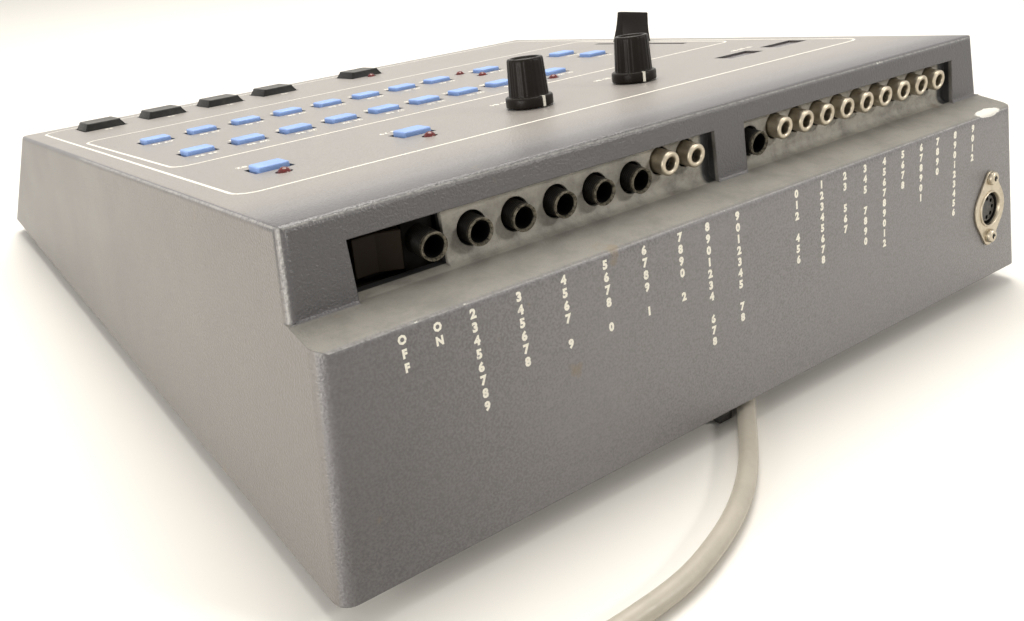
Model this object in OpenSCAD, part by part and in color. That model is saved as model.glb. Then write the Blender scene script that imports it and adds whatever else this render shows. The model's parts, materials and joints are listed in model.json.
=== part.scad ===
// Desktop drum machine: a wedge-shaped moulded case with keys, pads, knobs and a slider on its
// sloping panel, and rows of jacks in two recessed windows at the rear.
// +X is the player's right, +Y points to the rear (jack side), +Z is up.
// The origin is the centre of the case's footprint, on the surface that the feet stand on.

/* [Case] */
// Width of the case at its lower edge
case_w = 316; // [312:1:326]
// Depth of the case at its lower edge
case_d = 388; // [382:1:398]
// Height of the rear top edge above the case's lower edge
rear_h = 91.2; // [90.6:0.2:96]
// Height of the front top edge above the case's lower edge
front_h = 53.9; // [50:0.1:58]
// How far the front face leans back from its lower edge
front_run = 52.8; // [48:0.2:56]
// Height of the ledge's outer edge above the case's lower edge
ledge_h = 65.8; // [65:0.1:66.4]
// Depth of the ledge under the jack windows
ledge_depth = 15; // [13:0.5:18]
// Rise of the ledge towards the windows
ledge_rise = 1.8; // [1.2:0.1:2.2]
// How far the face above the ledge leans back to the top edge
upper_run = 4.2; // [3:0.1:5.5]
// Lean of the side walls, in degrees
side_lean = 6.9; // [5:0.1:8]
// Lean of the rear wall below the ledge, in degrees
rear_lean = 7.8; // [6:0.1:9]
// Wall thickness of the case
wall = 4; // [3.4:0.1:4.6]
// Radius of the upright corners
corner_r = 5; // [3:0.5:7]
// Radius of the edges round the top panel
edge_r = 2.2; // [1:0.1:3]
// Height of the rubber feet
foot_h = 8; // [7:0.5:12]

/* [Jack windows] */
// Width of the window at the power switch's end
window_1_w = 129.8; // [128:0.2:132]
// Width of the other window
window_2_w = 119; // [117:0.2:121]
// Width of the pillar between the windows
pillar_w = 13.6; // [12:0.2:16]
// Height of the lintel over the windows
lintel_h = 7.4; // [6:0.1:8.4]
// Depth of the pocket's floor behind the window
pocket_depth = 4.2; // [3.8:0.1:5]
// Lean of the pocket's back wall, as a share of its height
pocket_lean = 0.12; // [0.06:0.01:0.16]
// Width of the cut-out for the power switch and the first jack
cutout_w = 29; // [28.6:0.2:31]

/* [Jacks] */
// Distance between quarter-inch jacks
jack_pitch = 14.65; // [14.2:0.05:15]
// Bore of a quarter-inch jack
jack_bore = 6.4; // [6.35:0.05:6.6]
// Outside diameter of a quarter-inch jack's nose
jack_nose = 8; // [7.6:0.1:8.6]
// Distance between phono jacks
phono_pitch = 11.2; // [10.8:0.05:11.4]
// Outside diameter of a phono jack's shell
phono_d = 7.6; // [7.2:0.1:8.2]
// Distance between the control socket's two screws
din_spacing = 23.3; // [22.3:0.1:24.5]
// Opening of the control socket
din_open = 13.4; // [12.6:0.1:14.2]

/* [Keys and pads] */
// Distance between key columns
key_pitch = 19.3; // [18.6:0.1:19.8]
// Width of a key cap
key_w = 10.4; // [9.6:0.1:11.2]
// Depth of a key cap
key_d = 8.8; // [8:0.1:9.6]
// Gap round a key cap at its two ends
key_end_gap = 1.3; // [0.6:0.1:1.8]
// Gap round a key cap at its front and back
key_side_gap = 0.9; // [0.5:0.1:1.4]
// How far a key cap stands out of the panel
key_proud = 1.6; // [1.2:0.1:2.4]
// Travel of a key
key_travel = 1; // [0.6:0.1:1.2]
// Distance between pads
pad_pitch = 29.6; // [28:0.1:31]
// Width of a pad
pad_w = 18.4; // [17:0.2:20]
// Depth of a pad
pad_d = 20; // [18:0.2:22]
// How far a pad stands out of the panel
pad_proud = 3.2; // [2.6:0.1:4.2]
// Travel of a pad
pad_travel = 1.5; // [1:0.1:1.8]

/* [Knobs and slider] */
// Diameter of a knob's skirt
knob_d = 17.3; // [16:0.1:19]
// Height of a knob above the panel
knob_h = 17.4; // [16:0.1:20]
// Height of a knob's skirt
knob_skirt_h = 4.1; // [3.4:0.1:5]
// Diameter of a knob's top
knob_top_d = 12.4; // [11.6:0.1:13.4]
// Diameter of the pot shafts
shaft_d = 6; // [5.6:0.1:6.35]
// Travel of the slider
slide_travel = 60; // [50:1:62]
// Where the slider stands, from the rear end of its travel
slide_at = 35; // [5:1:45]
// Width of the slider's cap at the panel
cap_w = 20; // [17:0.5:21]
// Height of the slider's cap
cap_h = 16; // [13:0.5:18]

/* [Hidden] */
$fn = 48;
SKIN = 0.01;          // overlap that joins two forms of one piece
SEAT = 0.3;           // running gap round guided pieces
FAR = 600;            // longer than anything here

// ---- case profile ----
front_y = -case_d / 2;
rear_y = case_d / 2;
ledge_y = rear_y - ledge_h * tan(rear_lean);
window_y = ledge_y - ledge_depth;
window_z = ledge_h + ledge_rise;
top_y = window_y - upper_run;
front_top_y = front_y + front_run;
top_slope = atan((rear_h - front_h) / (top_y - front_top_y));
front_angle = atan(front_h / front_run);
panel_l = (top_y - front_top_y) / cos(top_slope);
half_case = case_w / 2;
lintel_z = rear_h - lintel_h;

// ---- panel layout: x across, t down the slope from the rear top edge ----
key_margin = 38.5;     // from the case's lower edge
key_right_x = half_case - key_margin;
ninth_col = 8.5;
side_col = 11;
rear_row_t = 138.4;
front_row_t = 191;
side_key_t = [front_row_t - 24.8, front_row_t];
transport_x = [key_right_x - 53.7, key_right_x - 1.9];
transport_t = 75.3;
pad_right_x = key_right_x;
run_pad_x = pad_right_x - 139.9;
pad_margin = 27.7;     // from the panel's front edge
pad_t = panel_l - pad_margin;
knob_x = [17.6, -33.8];
knob_t = 72.3;
slider_margin = 28.5;
slider_x = slider_margin - half_case;
slider_mid_t = 172;
display_margin = 32;
display_x = [display_margin + 29 - half_case, display_margin - half_case];
display_t = 75;
display_w = 20;
display_d = 10;
lamp_column_x = key_right_x - 154;
lamp_d = 4.4;
lamp_hole_d = 5.4;
lamp_behind_key = 11.4;
lamp_behind_pad = 14.5;

// ---- panel stack, measured inwards from the panel's outer face ----
board_depth = wall + 10;
board_t = 1.6;
switch_h = 4;
post_top = -wall - 2;             // top of a key switch's fixed post
key_foot = -board_depth + switch_h + key_travel + 0.5;
pad_foot = -board_depth + switch_h + pad_travel + 0.5;
pad_gap = 0.7;
post_w = 3.6;
pad_post_w = 5;
board_margin = 22;
board_half_w = half_case - board_margin;
board_rear_t = 54;
board_front_t = panel_l - 5.2;
boss_d = 7;
boss_x = board_half_w - 4.5;
boss_t = [board_rear_t + 4, 165, panel_l - 69.2, board_front_t - 6];
boss_places = [[boss_x, boss_t[0]], [boss_x, boss_t[1]], [boss_x, boss_t[2]], [boss_x, boss_t[3]],
               [5, 100], [5, boss_t[1]], [5, boss_t[2]], [5, boss_t[3]],
               [-boss_x, boss_t[0]], [-boss_x, boss_t[2]], [-boss_x, boss_t[3]]];
pilot_d = 2.8;
screw_d = 2.6;
screw_head_d = 5.4;
screw_head_h = 2;

// ---- jack side ----
pillar_x = -6.2;
window_1 = [pillar_x + pillar_w / 2, pillar_x + pillar_w / 2 + window_1_w];
window_2 = [pillar_x - pillar_w / 2 - window_2_w, pillar_x - pillar_w / 2];
pocket_y = window_y - pocket_depth;
pocket_floor_z = ledge_line(pocket_y);
pocket_skin = 3;
cove_r = 3;
nose_y = window_y - 0.4;
jack_z = window_z + 8.3;
phono_z = window_z + 10.75;
first_jack_x = window_1[1] - 23.4;
jack_xs = concat([for (i = [0 : 5]) first_jack_x - i * jack_pitch], [window_2[1] - 5.9]);
phono_xs = concat([for (i = [0 : 1]) jack_xs[5] - 11.95 - i * phono_pitch],
                  [for (i = [0 : 8]) jack_xs[6] - 12.6 - i * phono_pitch]);
jack_clear = 0.9;
phono_clear = 0.6;
jack_board_z = window_z - 0.6;    // upper face of the jack board
jack_board_y = [window_y - 55, window_y - 11];
jack_board_x = [28 - half_case, half_case - 27.5];
jack_body_w = 9.4;
jack_body_h = 14.6;
jack_body_d = 24;
phono_body_w = 9.6;
phono_body_d = 14;
body_front_y = pocket_y - pocket_skin - pocket_lean * (jack_body_h + jack_board_z - pocket_floor_z) - 0.5;
din_margin = 24;
din_x = din_margin - half_case;
din_s = 37.5;
din_plate_t = 1;
din_depth = 9;
din_screw_d = 3;

// ---- power switch ----
rocker_x = window_1[1] - 11;
rocker_pivot_y = window_y - 12.5;
rocker_z = window_z + 8.4;
rocker_w = 13.2;
rocker_h = 11;
rocker_tilt = 11;
rocker_pin_d = 2.4;

// ---- inner horizontal parts ----
plate_t = 2;
plate_z = 0.2;
plate_top = plate_z + plate_t;
plate_gap = 0.5;
case_boss_d = 9;
case_boss_x = half_case - 11;
case_boss_y = [front_y + 54, 0, rear_y - 44];
main_board_z = 10;
main_board_w = 186;
main_board_x = [18 - half_case, 18 - half_case + main_board_w];
main_board_y = [front_y + 66, rear_y - 66];
post_d = 6;
post_inset = 6;
main_posts = [for (x = [main_board_x[0] + post_inset, main_board_x[1] - post_inset],
                   y = [main_board_y[0] + post_inset, 0, main_board_y[1] - post_inset]) [x, y]];
jack_posts = [for (x = [jack_board_x[0] + 8, pillar_x - 55.8, pillar_x + 40.2, jack_board_x[1] - 38.5])
    [x, jack_board_y[0] + 19]];

// ---- cord ----
cord_d = 6.2;
recess_x = [-26, 10];
recess_y = [rear_y - 68, rear_y - 8];
recess_h = 14;
gland = [-9, recess_y[0], foot_h + 7.6];
sleeve_l = 24;
sleeve_d = 10.4;
coil_c = [150, 283];
coil_r = 46;
cord_points = [[-9, 147.8, 15.6], [-9, 151, 15.6], [-9, 156, 14.8], [-8.7, 161.4, 13.2], [-8, 167, 10.9],
    [-6.8, 172.4, 8.4], [-4.8, 177.6, 6.2], [-2, 182.4, 4.6], [1.8, 186.8, 3.6], [6.4, 191.2, 3.2],
    [11.6, 196, 3.1], [17, 201.2, 3.1], [22.8, 206.4, 3.1], [28.6, 211.4, 3.1], [34.8, 216.2, 3.1],
    [41.4, 220.6, 3.1], [48.4, 224.6, 3.1], [56, 228.2, 3.1], [64, 231.2, 3.1], [72.6, 233.8, 3.1],
    [82, 236, 3.1], [92, 237.2, 3.1], [103, 237.4, 3.1], [114, 237.2, 3.1], [126, 237, 3.1],
    [138, 237, 3.1], [150, 237, 3.1]];
tail_points = [[150, 325.9, 8.5], [141, 325.9, 8.3], [132, 325.7, 7.5], [123, 325.4, 6.8], [114, 325.1, 6.8],
    [105, 325, 7.8], [97, 325, 9.6], [90, 325, 10.8]];
plug_c = [90, 325, 11];

// ---------------------------------------------------------------- helpers

function unit(v) = v / norm(v);

// a range moved by c
function from(c, range) = [c + range[0], c + range[1]];

// where the lines a-b and b-c meet once each is moved inwards by d (outline runs anticlockwise)
function inset_point(a, b, c, d) =
    let (u = unit(b - a), v = unit(c - b),
         n = [-u[1], u[0]], m = [-v[1], v[0]],
         k = d / (1 + n * m))
    b + k * (n + m);

// points of a rounded corner at b
function round_corner(a, b, c, r, n = 6) =
    let (u = unit(a - b), v = unit(c - b),
         half = acos(u * v) / 2,
         m = b + unit(u + v) * r / sin(half),
         p = b + u * r / tan(half),
         q = b + v * r / tan(half),
         a0 = atan2(p[1] - m[1], p[0] - m[0]),
         turn = atan2(q[1] - m[1], q[0] - m[0]) - a0,
         sweep = turn > 180 ? turn - 360 : turn < -180 ? turn + 360 : turn)
    [for (i = [0 : n]) m + r * [cos(a0 + sweep * i / n), sin(a0 + sweep * i / n)]];

// a solid whose outline lies in the Y-Z plane, from x0 to x1
module along_x(x0, x1) {
    translate([x0, 0, 0]) rotate([90, 0, 90]) linear_extrude(x1 - x0) children();
}

// puts children on the sloping panel; z is outwards
module on_panel(x, t) {
    translate([0, top_y, rear_h]) rotate([top_slope, 0, 0]) translate([x, -t, 0]) children();
}

// puts children on the rear face below the ledge; z is outwards, y is up
module on_rear(x, s) {
    translate([0, ledge_y, ledge_h]) rotate([90 - rear_lean, 0, 180]) translate([-x, -s, 0]) children();
}

// puts children on an axis along +Y
module facing_rear(x, y, z) {
    translate([x, y, z]) rotate([-90, 0, 0]) children();
}

module above_floor() {
    translate([0, 0, foot_h]) children();
}

module box(x, y, z) {
    translate([x[0], y[0], z[0]]) cube([x[1] - x[0], y[1] - y[0], z[1] - z[0]]);
}

// block centred on z with a chamfered top
module cap_block(w, d, z0, z1, top_in, chamfer_h) {
    intersection() {
        rotate([90, 0, 0]) linear_extrude(d, center = true)
            polygon([[-w / 2, z0], [w / 2, z0], [w / 2, z1 - chamfer_h], [w / 2 - top_in, z1],
                     [top_in - w / 2, z1], [-w / 2, z1 - chamfer_h]]);
        rotate([90, 0, 90]) linear_extrude(w, center = true)
            polygon([[-d / 2, z0], [d / 2, z0], [d / 2, z1 - chamfer_h], [d / 2 - top_in, z1],
                     [top_in - d / 2, z1], [-d / 2, z1 - chamfer_h]]);
    }
}

// what rounding takes off the edge where two faces with outward normals n1 and n2 meet at p; the edge runs
// along n1 x n2, and the cutter reaches back and ahead of p by these lengths
module edge_cutter(p, n1, n2, r, back, ahead, n = 7) {
    d = unit(cross(n1, n2));
    m = unit(n1 + n2);
    f = cross(d, m);
    half = acos(n1 * n2) / 2;
    frame = [[m[0], f[0], d[0], p[0]], [m[1], f[1], d[1], p[1]], [m[2], f[2], d[2], p[2]], [0, 0, 0, 1]];
    arc = [for (i = [0 : n]) let (t = half - 2 * half * i / n) [r * cos(t) - r / cos(half), r * sin(t)]];
    multmatrix(frame) translate([0, 0, -back]) linear_extrude(back + ahead) polygon(concat([[0.4, 0]], arc));
}

// ---------------------------------------------------------------- case

side_n = unit([1, 0, tan(side_lean)]);
rear_n = unit([0, 1, tan(rear_lean)]);
upper_n = unit([0, rear_h - window_z, upper_run]);
front_n = unit([0, -front_h, front_run]);
top_n = [0, -sin(top_slope), cos(top_slope)];

function half_w(z) = case_w / 2 - z * tan(side_lean);

// height of the ledge's plane, which the pockets' floors continue
function ledge_line(y) = window_z + (window_y - y) * ledge_rise / ledge_depth;

profile = [[front_y, 0], [rear_y, 0], [ledge_y, ledge_h], [window_y, window_z], [top_y, rear_h],
           [front_top_y, front_h]];

module profile_outline() {
    polygon(concat(
        [profile[0], profile[1]],
        round_corner(profile[1], profile[2], profile[3], edge_r),
        round_corner(profile[2], profile[3], profile[4], 1.4),
        round_corner(profile[3], profile[4], profile[5], edge_r),
        round_corner(profile[4], profile[5], profile[0], edge_r + 1)));
}

// cross-section between the side walls, moved inwards by d
module side_outline(d) {
    skew = d / cos(side_lean);
    low = -20;
    polygon([[-half_w(low) + skew, low], [half_w(low) - skew, low],
             [half_w(rear_h + 20) - skew, rear_h + 20], [-half_w(rear_h + 20) + skew, rear_h + 20]]);
}

module side_mirror() {
    children();
    mirror([1, 0, 0]) children();
}

module case_body() {
    difference() {
        intersection() {
            along_x(-case_w / 2, case_w / 2) profile_outline();
            translate([0, FAR / 2, 0]) rotate([90, 0, 0]) linear_extrude(FAR) side_outline(0);
        }
        side_mirror() {
            edge_cutter([half_w(0), rear_y, 0], side_n, rear_n, corner_r, 2, ledge_h * 1.2);
            edge_cutter([half_w(front_h), front_top_y, front_h], side_n, front_n, corner_r, 20, 2 * front_h);
            intersection() {
                edge_cutter([half_w(window_z), window_y, window_z], side_n, upper_n, edge_r + 0.8, 6, rear_h);
                box([0, FAR], [0, FAR], [window_z + 0.1, FAR]);
            }
            edge_cutter([half_w(rear_h), top_y, rear_h], side_n, top_n, edge_r, 20, case_d);
        }
    }
}

// inner line of the front and rear walls at a height
function front_in(z) = front_y + z * front_run / front_h + wall / sin(front_angle);
function rear_in(z) = rear_y - z * tan(rear_lean) - wall / cos(rear_lean);

// the pocket's back wall at a height
function pocket_wall(z) = pocket_y - pocket_lean * (z - pocket_floor_z);

module cavity() {
    back_low = inset_point(profile[1], profile[2], profile[3], wall);
    front_top = inset_point(profile[4], profile[5], profile[0], wall);
    under_top = inset_point(profile[4] + [20, 20 * tan(top_slope)], profile[4], profile[5], wall);
    y_low = pocket_y - pocket_skin;
    y_high = pocket_wall(lintel_z) - pocket_skin;
    z_high = under_top[1] - (under_top[0] - y_high) * tan(top_slope);
    intersection() {
        along_x(-case_w / 2, case_w / 2) polygon([
            [front_in(-10), -10], [rear_in(-10), -10], back_low, [y_low, back_low[1]],
            [y_low, pocket_floor_z], [y_high, lintel_z], [y_high, z_high], front_top]);
        translate([0, FAR / 2, 0]) rotate([90, 0, 0]) linear_extrude(FAR) side_outline(wall);
    }
}

module pocket(xs) {
    mouth_y = window_y + 4;
    cove = round_corner([mouth_y, ledge_line(mouth_y)], [pocket_y, pocket_floor_z],
                        [pocket_wall(lintel_z), lintel_z], cove_r, 5);
    along_x(xs[0], xs[1]) polygon(concat(
        [[mouth_y, lintel_z], [mouth_y, ledge_line(mouth_y)]], cove, [[pocket_wall(lintel_z), lintel_z]]));
}

module switch_cutout() {
    in_y = pocket_y - 3 * pocket_skin;
    along_x(window_1[1] - cutout_w, window_1[1]) polygon([
        [window_y, ledge_line(window_y)], [window_y, lintel_z], [in_y, lintel_z], [in_y, ledge_line(in_y)]]);
}

module case_bosses() {
    intersection() {
        for (side = [-1, 1], y = case_boss_y)
            translate([side * case_boss_x, y, plate_top]) cylinder(d = case_boss_d, h = rear_h);
        case_body();
    }
}

module key_slot(x, t) {
    on_panel(x, t) cube([key_w + 2 * key_end_gap, key_d + 2 * key_side_gap, 3 * wall], center = true);
}

module pad_slot(x, t) {
    on_panel(x, t) cube([pad_w + 2 * pad_gap, pad_d + 2 * pad_gap, 3 * wall], center = true);
}

key_columns = concat([key_right_x - ninth_col * key_pitch],
                     [for (i = [7 : -1 : 0]) key_right_x - i * key_pitch]);
side_key_x = key_right_x - side_col * key_pitch;
pad_columns = [for (i = [3 : -1 : 0]) pad_right_x - i * pad_pitch];
lamp_places = concat(
    [for (x = transport_x) [x, transport_t - lamp_behind_key]],
    [[lamp_column_x, rear_row_t - lamp_behind_key - 2.5], [lamp_column_x, front_row_t - lamp_behind_key],
     [lamp_column_x, front_row_t + 8.5]],
    [[run_pad_x, pad_t - lamp_behind_pad]]);

module panel_openings() {
    for (x = key_columns) {
        key_slot(x, rear_row_t);
        key_slot(x, front_row_t);
    }
    for (t = side_key_t) key_slot(side_key_x, t);
    for (x = transport_x) key_slot(x, transport_t);
    for (x = concat(pad_columns, [run_pad_x])) pad_slot(x, pad_t);
    for (p = lamp_places) on_panel(p[0], p[1]) cylinder(d = lamp_hole_d, h = 3 * wall, center = true);
    for (x = display_x) on_panel(x, display_t) cube([display_w, display_d, 3 * wall], center = true);
    for (x = knob_x) on_panel(x, knob_t) cylinder(d = shaft_d + 2, h = 3 * wall, center = true);
    on_panel(slider_x, slider_mid_t) cube([3, slide_travel + 8, 3 * wall], center = true);
}

module jack_holes() {
    hole_l = pocket_y - body_front_y + 4;
    for (x = jack_xs) facing_rear(x, pocket_y - hole_l + 1, jack_z)
        cylinder(d = jack_nose + 2 * jack_clear, h = hole_l);
    for (x = phono_xs) facing_rear(x, pocket_y - hole_l + 1, phono_z)
        cylinder(d = phono_d + 2 * phono_clear, h = hole_l);
}

module top_shell() {
    color("lightslategray") above_floor() difference() {
        union() {
            difference() {
                case_body();
                cavity();
            }
            case_bosses();
            for (p = boss_places) on_panel(p[0], p[1])
                translate([0, 0, -board_depth]) cylinder(d = boss_d, h = board_depth - wall / 2);
        }
        pocket(window_1);
        pocket(window_2);
        switch_cutout();
        panel_openings();
        jack_holes();
        for (p = boss_places) on_panel(p[0], p[1])
            translate([0, 0, -board_depth - 1]) cylinder(d = pilot_d, h = 9);
        for (side = [-1, 1], y = case_boss_y)
            translate([side * case_boss_x, y, plate_top - 1]) cylinder(d = pilot_d, h = 16);
        on_rear(din_x, din_s) translate([0, 0, -2 * wall]) cylinder(d = din_open + 2, h = 4 * wall);
        for (side = [-1, 1]) on_rear(din_x, din_s + side * din_spacing / 2)
            translate([0, 0, -2 * wall]) cylinder(d = din_screw_d + 0.2, h = 4 * wall);
    }
}

// ---------------------------------------------------------------- underside

module plate_hole(x, y, d) {
    translate([x, y, plate_z - 1]) cylinder(d = d, h = plate_t + 2);
}

module base_plate() {
    rx = recess_x;
    ry = recess_y;
    half_plate = half_w(plate_top) - wall / cos(side_lean) - plate_gap;
    color("silver") above_floor() difference() {
        union() {
            box([-half_plate, half_plate], [front_in(plate_top) + plate_gap, rear_in(plate_top) - plate_gap],
                [plate_z, plate_top]);
            box([rx[0] - 1.6, rx[1] + 1.6], [ry[0] - 1.6, ry[1] + 1.6], [plate_z, recess_h + 1.6]);
        }
        box(rx, ry, [plate_z - 1, recess_h]);
        facing_rear(gland[0], ry[0] - 3, gland[2] - foot_h) cylinder(d = 9, h = 4);
        for (side = [-1, 1], y = case_boss_y) plate_hole(side * case_boss_x, y, screw_d + 0.8);
    }
}

foot_places = [for (side = [-1, 1], y = [front_y + 30, rear_y - 19]) [side * (half_case - 20), y]];

module feet() {
    color("dimgray") {
        for (p = foot_places) translate([p[0], p[1], 0]) {
            cylinder(d1 = 16, d2 = 18, h = 3);
            translate([0, 0, 3 - SKIN]) cylinder(d = 18, h = foot_h + plate_z - 3 + SKIN);
        }
        box([recess_x[1] + 1.4, recess_x[1] + 7], [rear_y - 14, rear_y - 4.6], [0.4, foot_h + plate_z]);
    }
}

module pan_screw(shank) {
    translate([0, 0, -screw_head_h]) cylinder(d = screw_head_d, h = screw_head_h);
    translate([0, 0, -SKIN]) cylinder(d = screw_d, h = shank + SKIN);
}

module screws() {
    color("gainsboro") above_floor() {
        for (side = [-1, 1], y = case_boss_y) translate([side * case_boss_x, y, plate_z]) pan_screw(14);
        for (p = boss_places) on_panel(p[0], p[1]) translate([0, 0, -board_depth - board_t]) pan_screw(8);
        for (side = [-1, 1]) on_rear(din_x, din_s + side * din_spacing / 2)
            translate([0, 0, din_plate_t]) rotate([180, 0, 0]) pan_screw(8);
    }
}

module strain_relief() {
    color("black") difference() {
        union() {
            facing_rear(gland[0], gland[1], gland[2])
                cylinder(d1 = sleeve_d, d2 = cord_d + 1.4, h = sleeve_l);
            facing_rear(gland[0], gland[1] - 1.6 - SKIN, gland[2]) cylinder(d = 8.8, h = 1.6 + 2 * SKIN);
            facing_rear(gland[0], gland[1] - 5.6, gland[2]) cylinder(d = sleeve_d, h = 4);
        }
        facing_rear(gland[0], gland[1] + sleeve_l - 2.2, gland[2]) cylinder(d = cord_d, h = 3);
    }
}

// ---------------------------------------------------------------- cord

function ring(i, pts, r) =
    let (n = len(pts) - 1,
         d = unit(pts[min(i + 1, n)] - pts[max(i - 1, 0)]),
         side = unit(cross(d, [0, 0, 1])),
         up = cross(side, d))
    [for (k = [0 : 7]) pts[i] + r * (cos(45 * k + 22.5) * side + sin(45 * k + 22.5) * up)];

module tube(pts, d) {
    n = len(pts);
    points = [for (i = [0 : n - 1], p = ring(i, pts, d / 2)) p];
    sides = [for (i = [0 : n - 2], k = [0 : 7])
        [8 * i + k, 8 * i + (k + 1) % 8, 8 * i + 8 + (k + 1) % 8, 8 * i + 8 + k]];
    polyhedron(points, concat(
        [[for (k = [7 : -1 : 0]) k]], sides, [[for (k = [0 : 7]) 8 * (n - 1) + k]]));
}

module power_cord() {
    color("rosybrown") {
        tube(cord_points, cord_d);
        tube(tail_points, cord_d);
    }
}

module cord_coil() {
    low = cord_d;
    high = 8.5 + cord_d / 2;
    color("rosybrown") {
        translate([coil_c[0], coil_c[1], 0]) rotate_extrude($fn = 64) polygon([
            [coil_r - 3.5 * cord_d, 0], [coil_r + cord_d / 2, 0], [coil_r + cord_d / 2, low],
            [coil_r, low], [coil_r, high], [coil_r - 3 * cord_d, high], [coil_r - 3 * cord_d, low],
            [coil_r - 3.5 * cord_d, low]]);
    }
}

module power_plug() {
    color("rosybrown") {
        difference() {
            hull() {
                translate(plug_c + [-34, 0, 0]) rotate([0, 90, 0]) linear_extrude(10)
                    polygon([[-11, -10], [-8, -13], [8, -13], [11, -10],
                             [11, 10], [8, 13], [-8, 13], [-11, 10]]);
                translate(plug_c + [-2, 0, 0]) rotate([0, 90, 0]) cylinder(d = 13, h = 4, $fn = 24);
            }
            translate(plug_c + [-1, 0, 0]) rotate([0, 90, 0]) cylinder(d = cord_d + 0.4, h = 4);
        }
        for (side = [-1, 1])
            box(from(plug_c[0] - 34, [-17, SKIN]), from(plug_c[1] + side * 6.35, [-0.8, 0.8]),
                from(plug_c[2], [-6, 0.3]));
        translate(plug_c + [-34 - 19, 0, 6]) rotate([0, 90, 0]) cylinder(d = 4.8, h = 19 + SKIN);
    }
}

// ---------------------------------------------------------------- boards

module panel_board() {
    color("seagreen") above_floor() difference() {
        on_panel(0, (board_rear_t + board_front_t) / 2) translate([0, 0, -board_depth - board_t / 2])
            cube([2 * board_half_w, board_front_t - board_rear_t, board_t], center = true);
        for (p = boss_places) on_panel(p[0], p[1]) translate([0, 0, -board_depth - 2 * board_t])
            cylinder(d = screw_d + 0.8, h = 3 * board_t);
    }
}

module jack_board() {
    color("seagreen") above_floor() box(jack_board_x, jack_board_y, [jack_board_z - board_t, jack_board_z]);
}

module main_board() {
    color("seagreen") above_floor() difference() {
        box(main_board_x, main_board_y, [main_board_z, main_board_z + board_t]);
        box([recess_x[0] - 4, recess_x[1] + 4], [recess_y[0] - 8, FAR], [0, FAR]);
    }
}

module board_posts() {
    color("goldenrod") above_floor() {
        for (p = main_posts) translate([p[0], p[1], plate_top])
            cylinder(d = post_d, h = main_board_z - plate_top);
        for (p = jack_posts) translate([p[0], p[1], plate_top])
            cylinder(d = post_d, h = jack_board_z - board_t - plate_top);
    }
}

module key_switch(w, post) {
    translate([-w / 2, -w / 2, -board_depth]) cube([w, w, switch_h]);
    translate([-post / 2, -post / 2, -board_depth + switch_h - SKIN])
        cube([post, post, post_top + board_depth - switch_h + SKIN]);
}

module key_switches() {
    color("darkslategray") above_floor() {
        for (x = key_columns, t = [rear_row_t, front_row_t]) on_panel(x, t) key_switch(8, post_w);
        for (t = side_key_t) on_panel(side_key_x, t) key_switch(8, post_w);
        for (x = transport_x) on_panel(x, transport_t) key_switch(8, post_w);
        for (x = concat(pad_columns, [run_pad_x])) on_panel(x, pad_t) key_switch(12, pad_post_w);
    }
}

module lamps() {
    dome_z = -0.7;
    color("darkred") above_floor() for (p = lamp_places) on_panel(p[0], p[1]) {
        translate([0, 0, -board_depth]) cylinder(d = lamp_d, h = board_depth + dome_z);
        translate([0, 0, dome_z]) sphere(d = lamp_d);
    }
}

module display_digits() {
    color("gray") above_floor() for (x = display_x) on_panel(x, display_t)
        translate([0, 0, (-board_depth - wall - 1.6) / 2])
            cube([display_w - 0.4, display_d + 1.6, board_depth - wall - 1.6], center = true);
}

module display_windows() {
    color("darkred") above_floor() for (x = display_x) on_panel(x, display_t) {
        translate([0, 0, -(wall + 1) / 2])
            cube([display_w - 0.4, display_d - 0.4, wall - 0.2], center = true);
        translate([0, 0, -wall - 0.8]) cube([display_w + 3, display_d + 3, 1.5], center = true);
    }
}

module knob_pots() {
    bush_top = -wall + 3.2;
    color("darkgray") above_floor() for (x = knob_x) on_panel(x, knob_t) difference() {
        union() {
            translate([0, 0, -board_depth]) cylinder(d = 16, h = board_depth - wall - 2);
            translate([0, 0, -wall - 2 - SKIN]) cylinder(d = shaft_d + 1.6, h = bush_top + wall + 2 + SKIN);
        }
        translate([0, 0, -wall - 5.1]) cylinder(d = shaft_d + 0.1, h = FAR / 20);
    }
}

module slide_pot() {
    color("darkgray") above_floor() on_panel(slider_x, slider_mid_t) difference() {
        translate([0, 0, -board_depth + 3.6]) cube([9, slide_travel + 24, 7.2], center = true);
        translate([0, 0, -board_depth + 5])
            cube([1.4 + 2 * SEAT, slide_travel + 5 + 2 * SEAT, 6], center = true);
    }
}

// ---------------------------------------------------------------- jacks

module jacks() {
    color("black") above_floor() for (x = jack_xs) difference() {
        union() {
            box([x - jack_body_w / 2, x + jack_body_w / 2], [body_front_y - jack_body_d, body_front_y],
                [jack_board_z, jack_board_z + jack_body_h]);
            facing_rear(x, body_front_y - SKIN, jack_z)
                cylinder(d = jack_nose, h = nose_y - body_front_y + SKIN);
        }
        facing_rear(x, nose_y - 30, jack_z) cylinder(d = jack_bore, h = 31);
    }
}

module phono_shells() {
    inner = phono_d - 2.4;
    color("tan") above_floor() for (x = phono_xs) facing_rear(x, body_front_y, phono_z) difference() {
        cylinder(d = phono_d, h = nose_y - body_front_y);
        translate([0, 0, -1]) cylinder(d = inner, h = nose_y - body_front_y + 2);
    }
}

module phono_cores() {
    inner = phono_d - 2.4;
    color("black") above_floor() for (x = phono_xs) {
        box([x - phono_body_w / 2, x + phono_body_w / 2], [body_front_y - phono_body_d, body_front_y],
            [jack_board_z, jack_board_z + jack_body_h + 1.4]);
        facing_rear(x, body_front_y - SKIN, phono_z) difference() {
            cylinder(d = inner, h = 6);
            translate([0, 0, 1]) cylinder(d = 3.3, h = 6);
        }
    }
}

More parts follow.
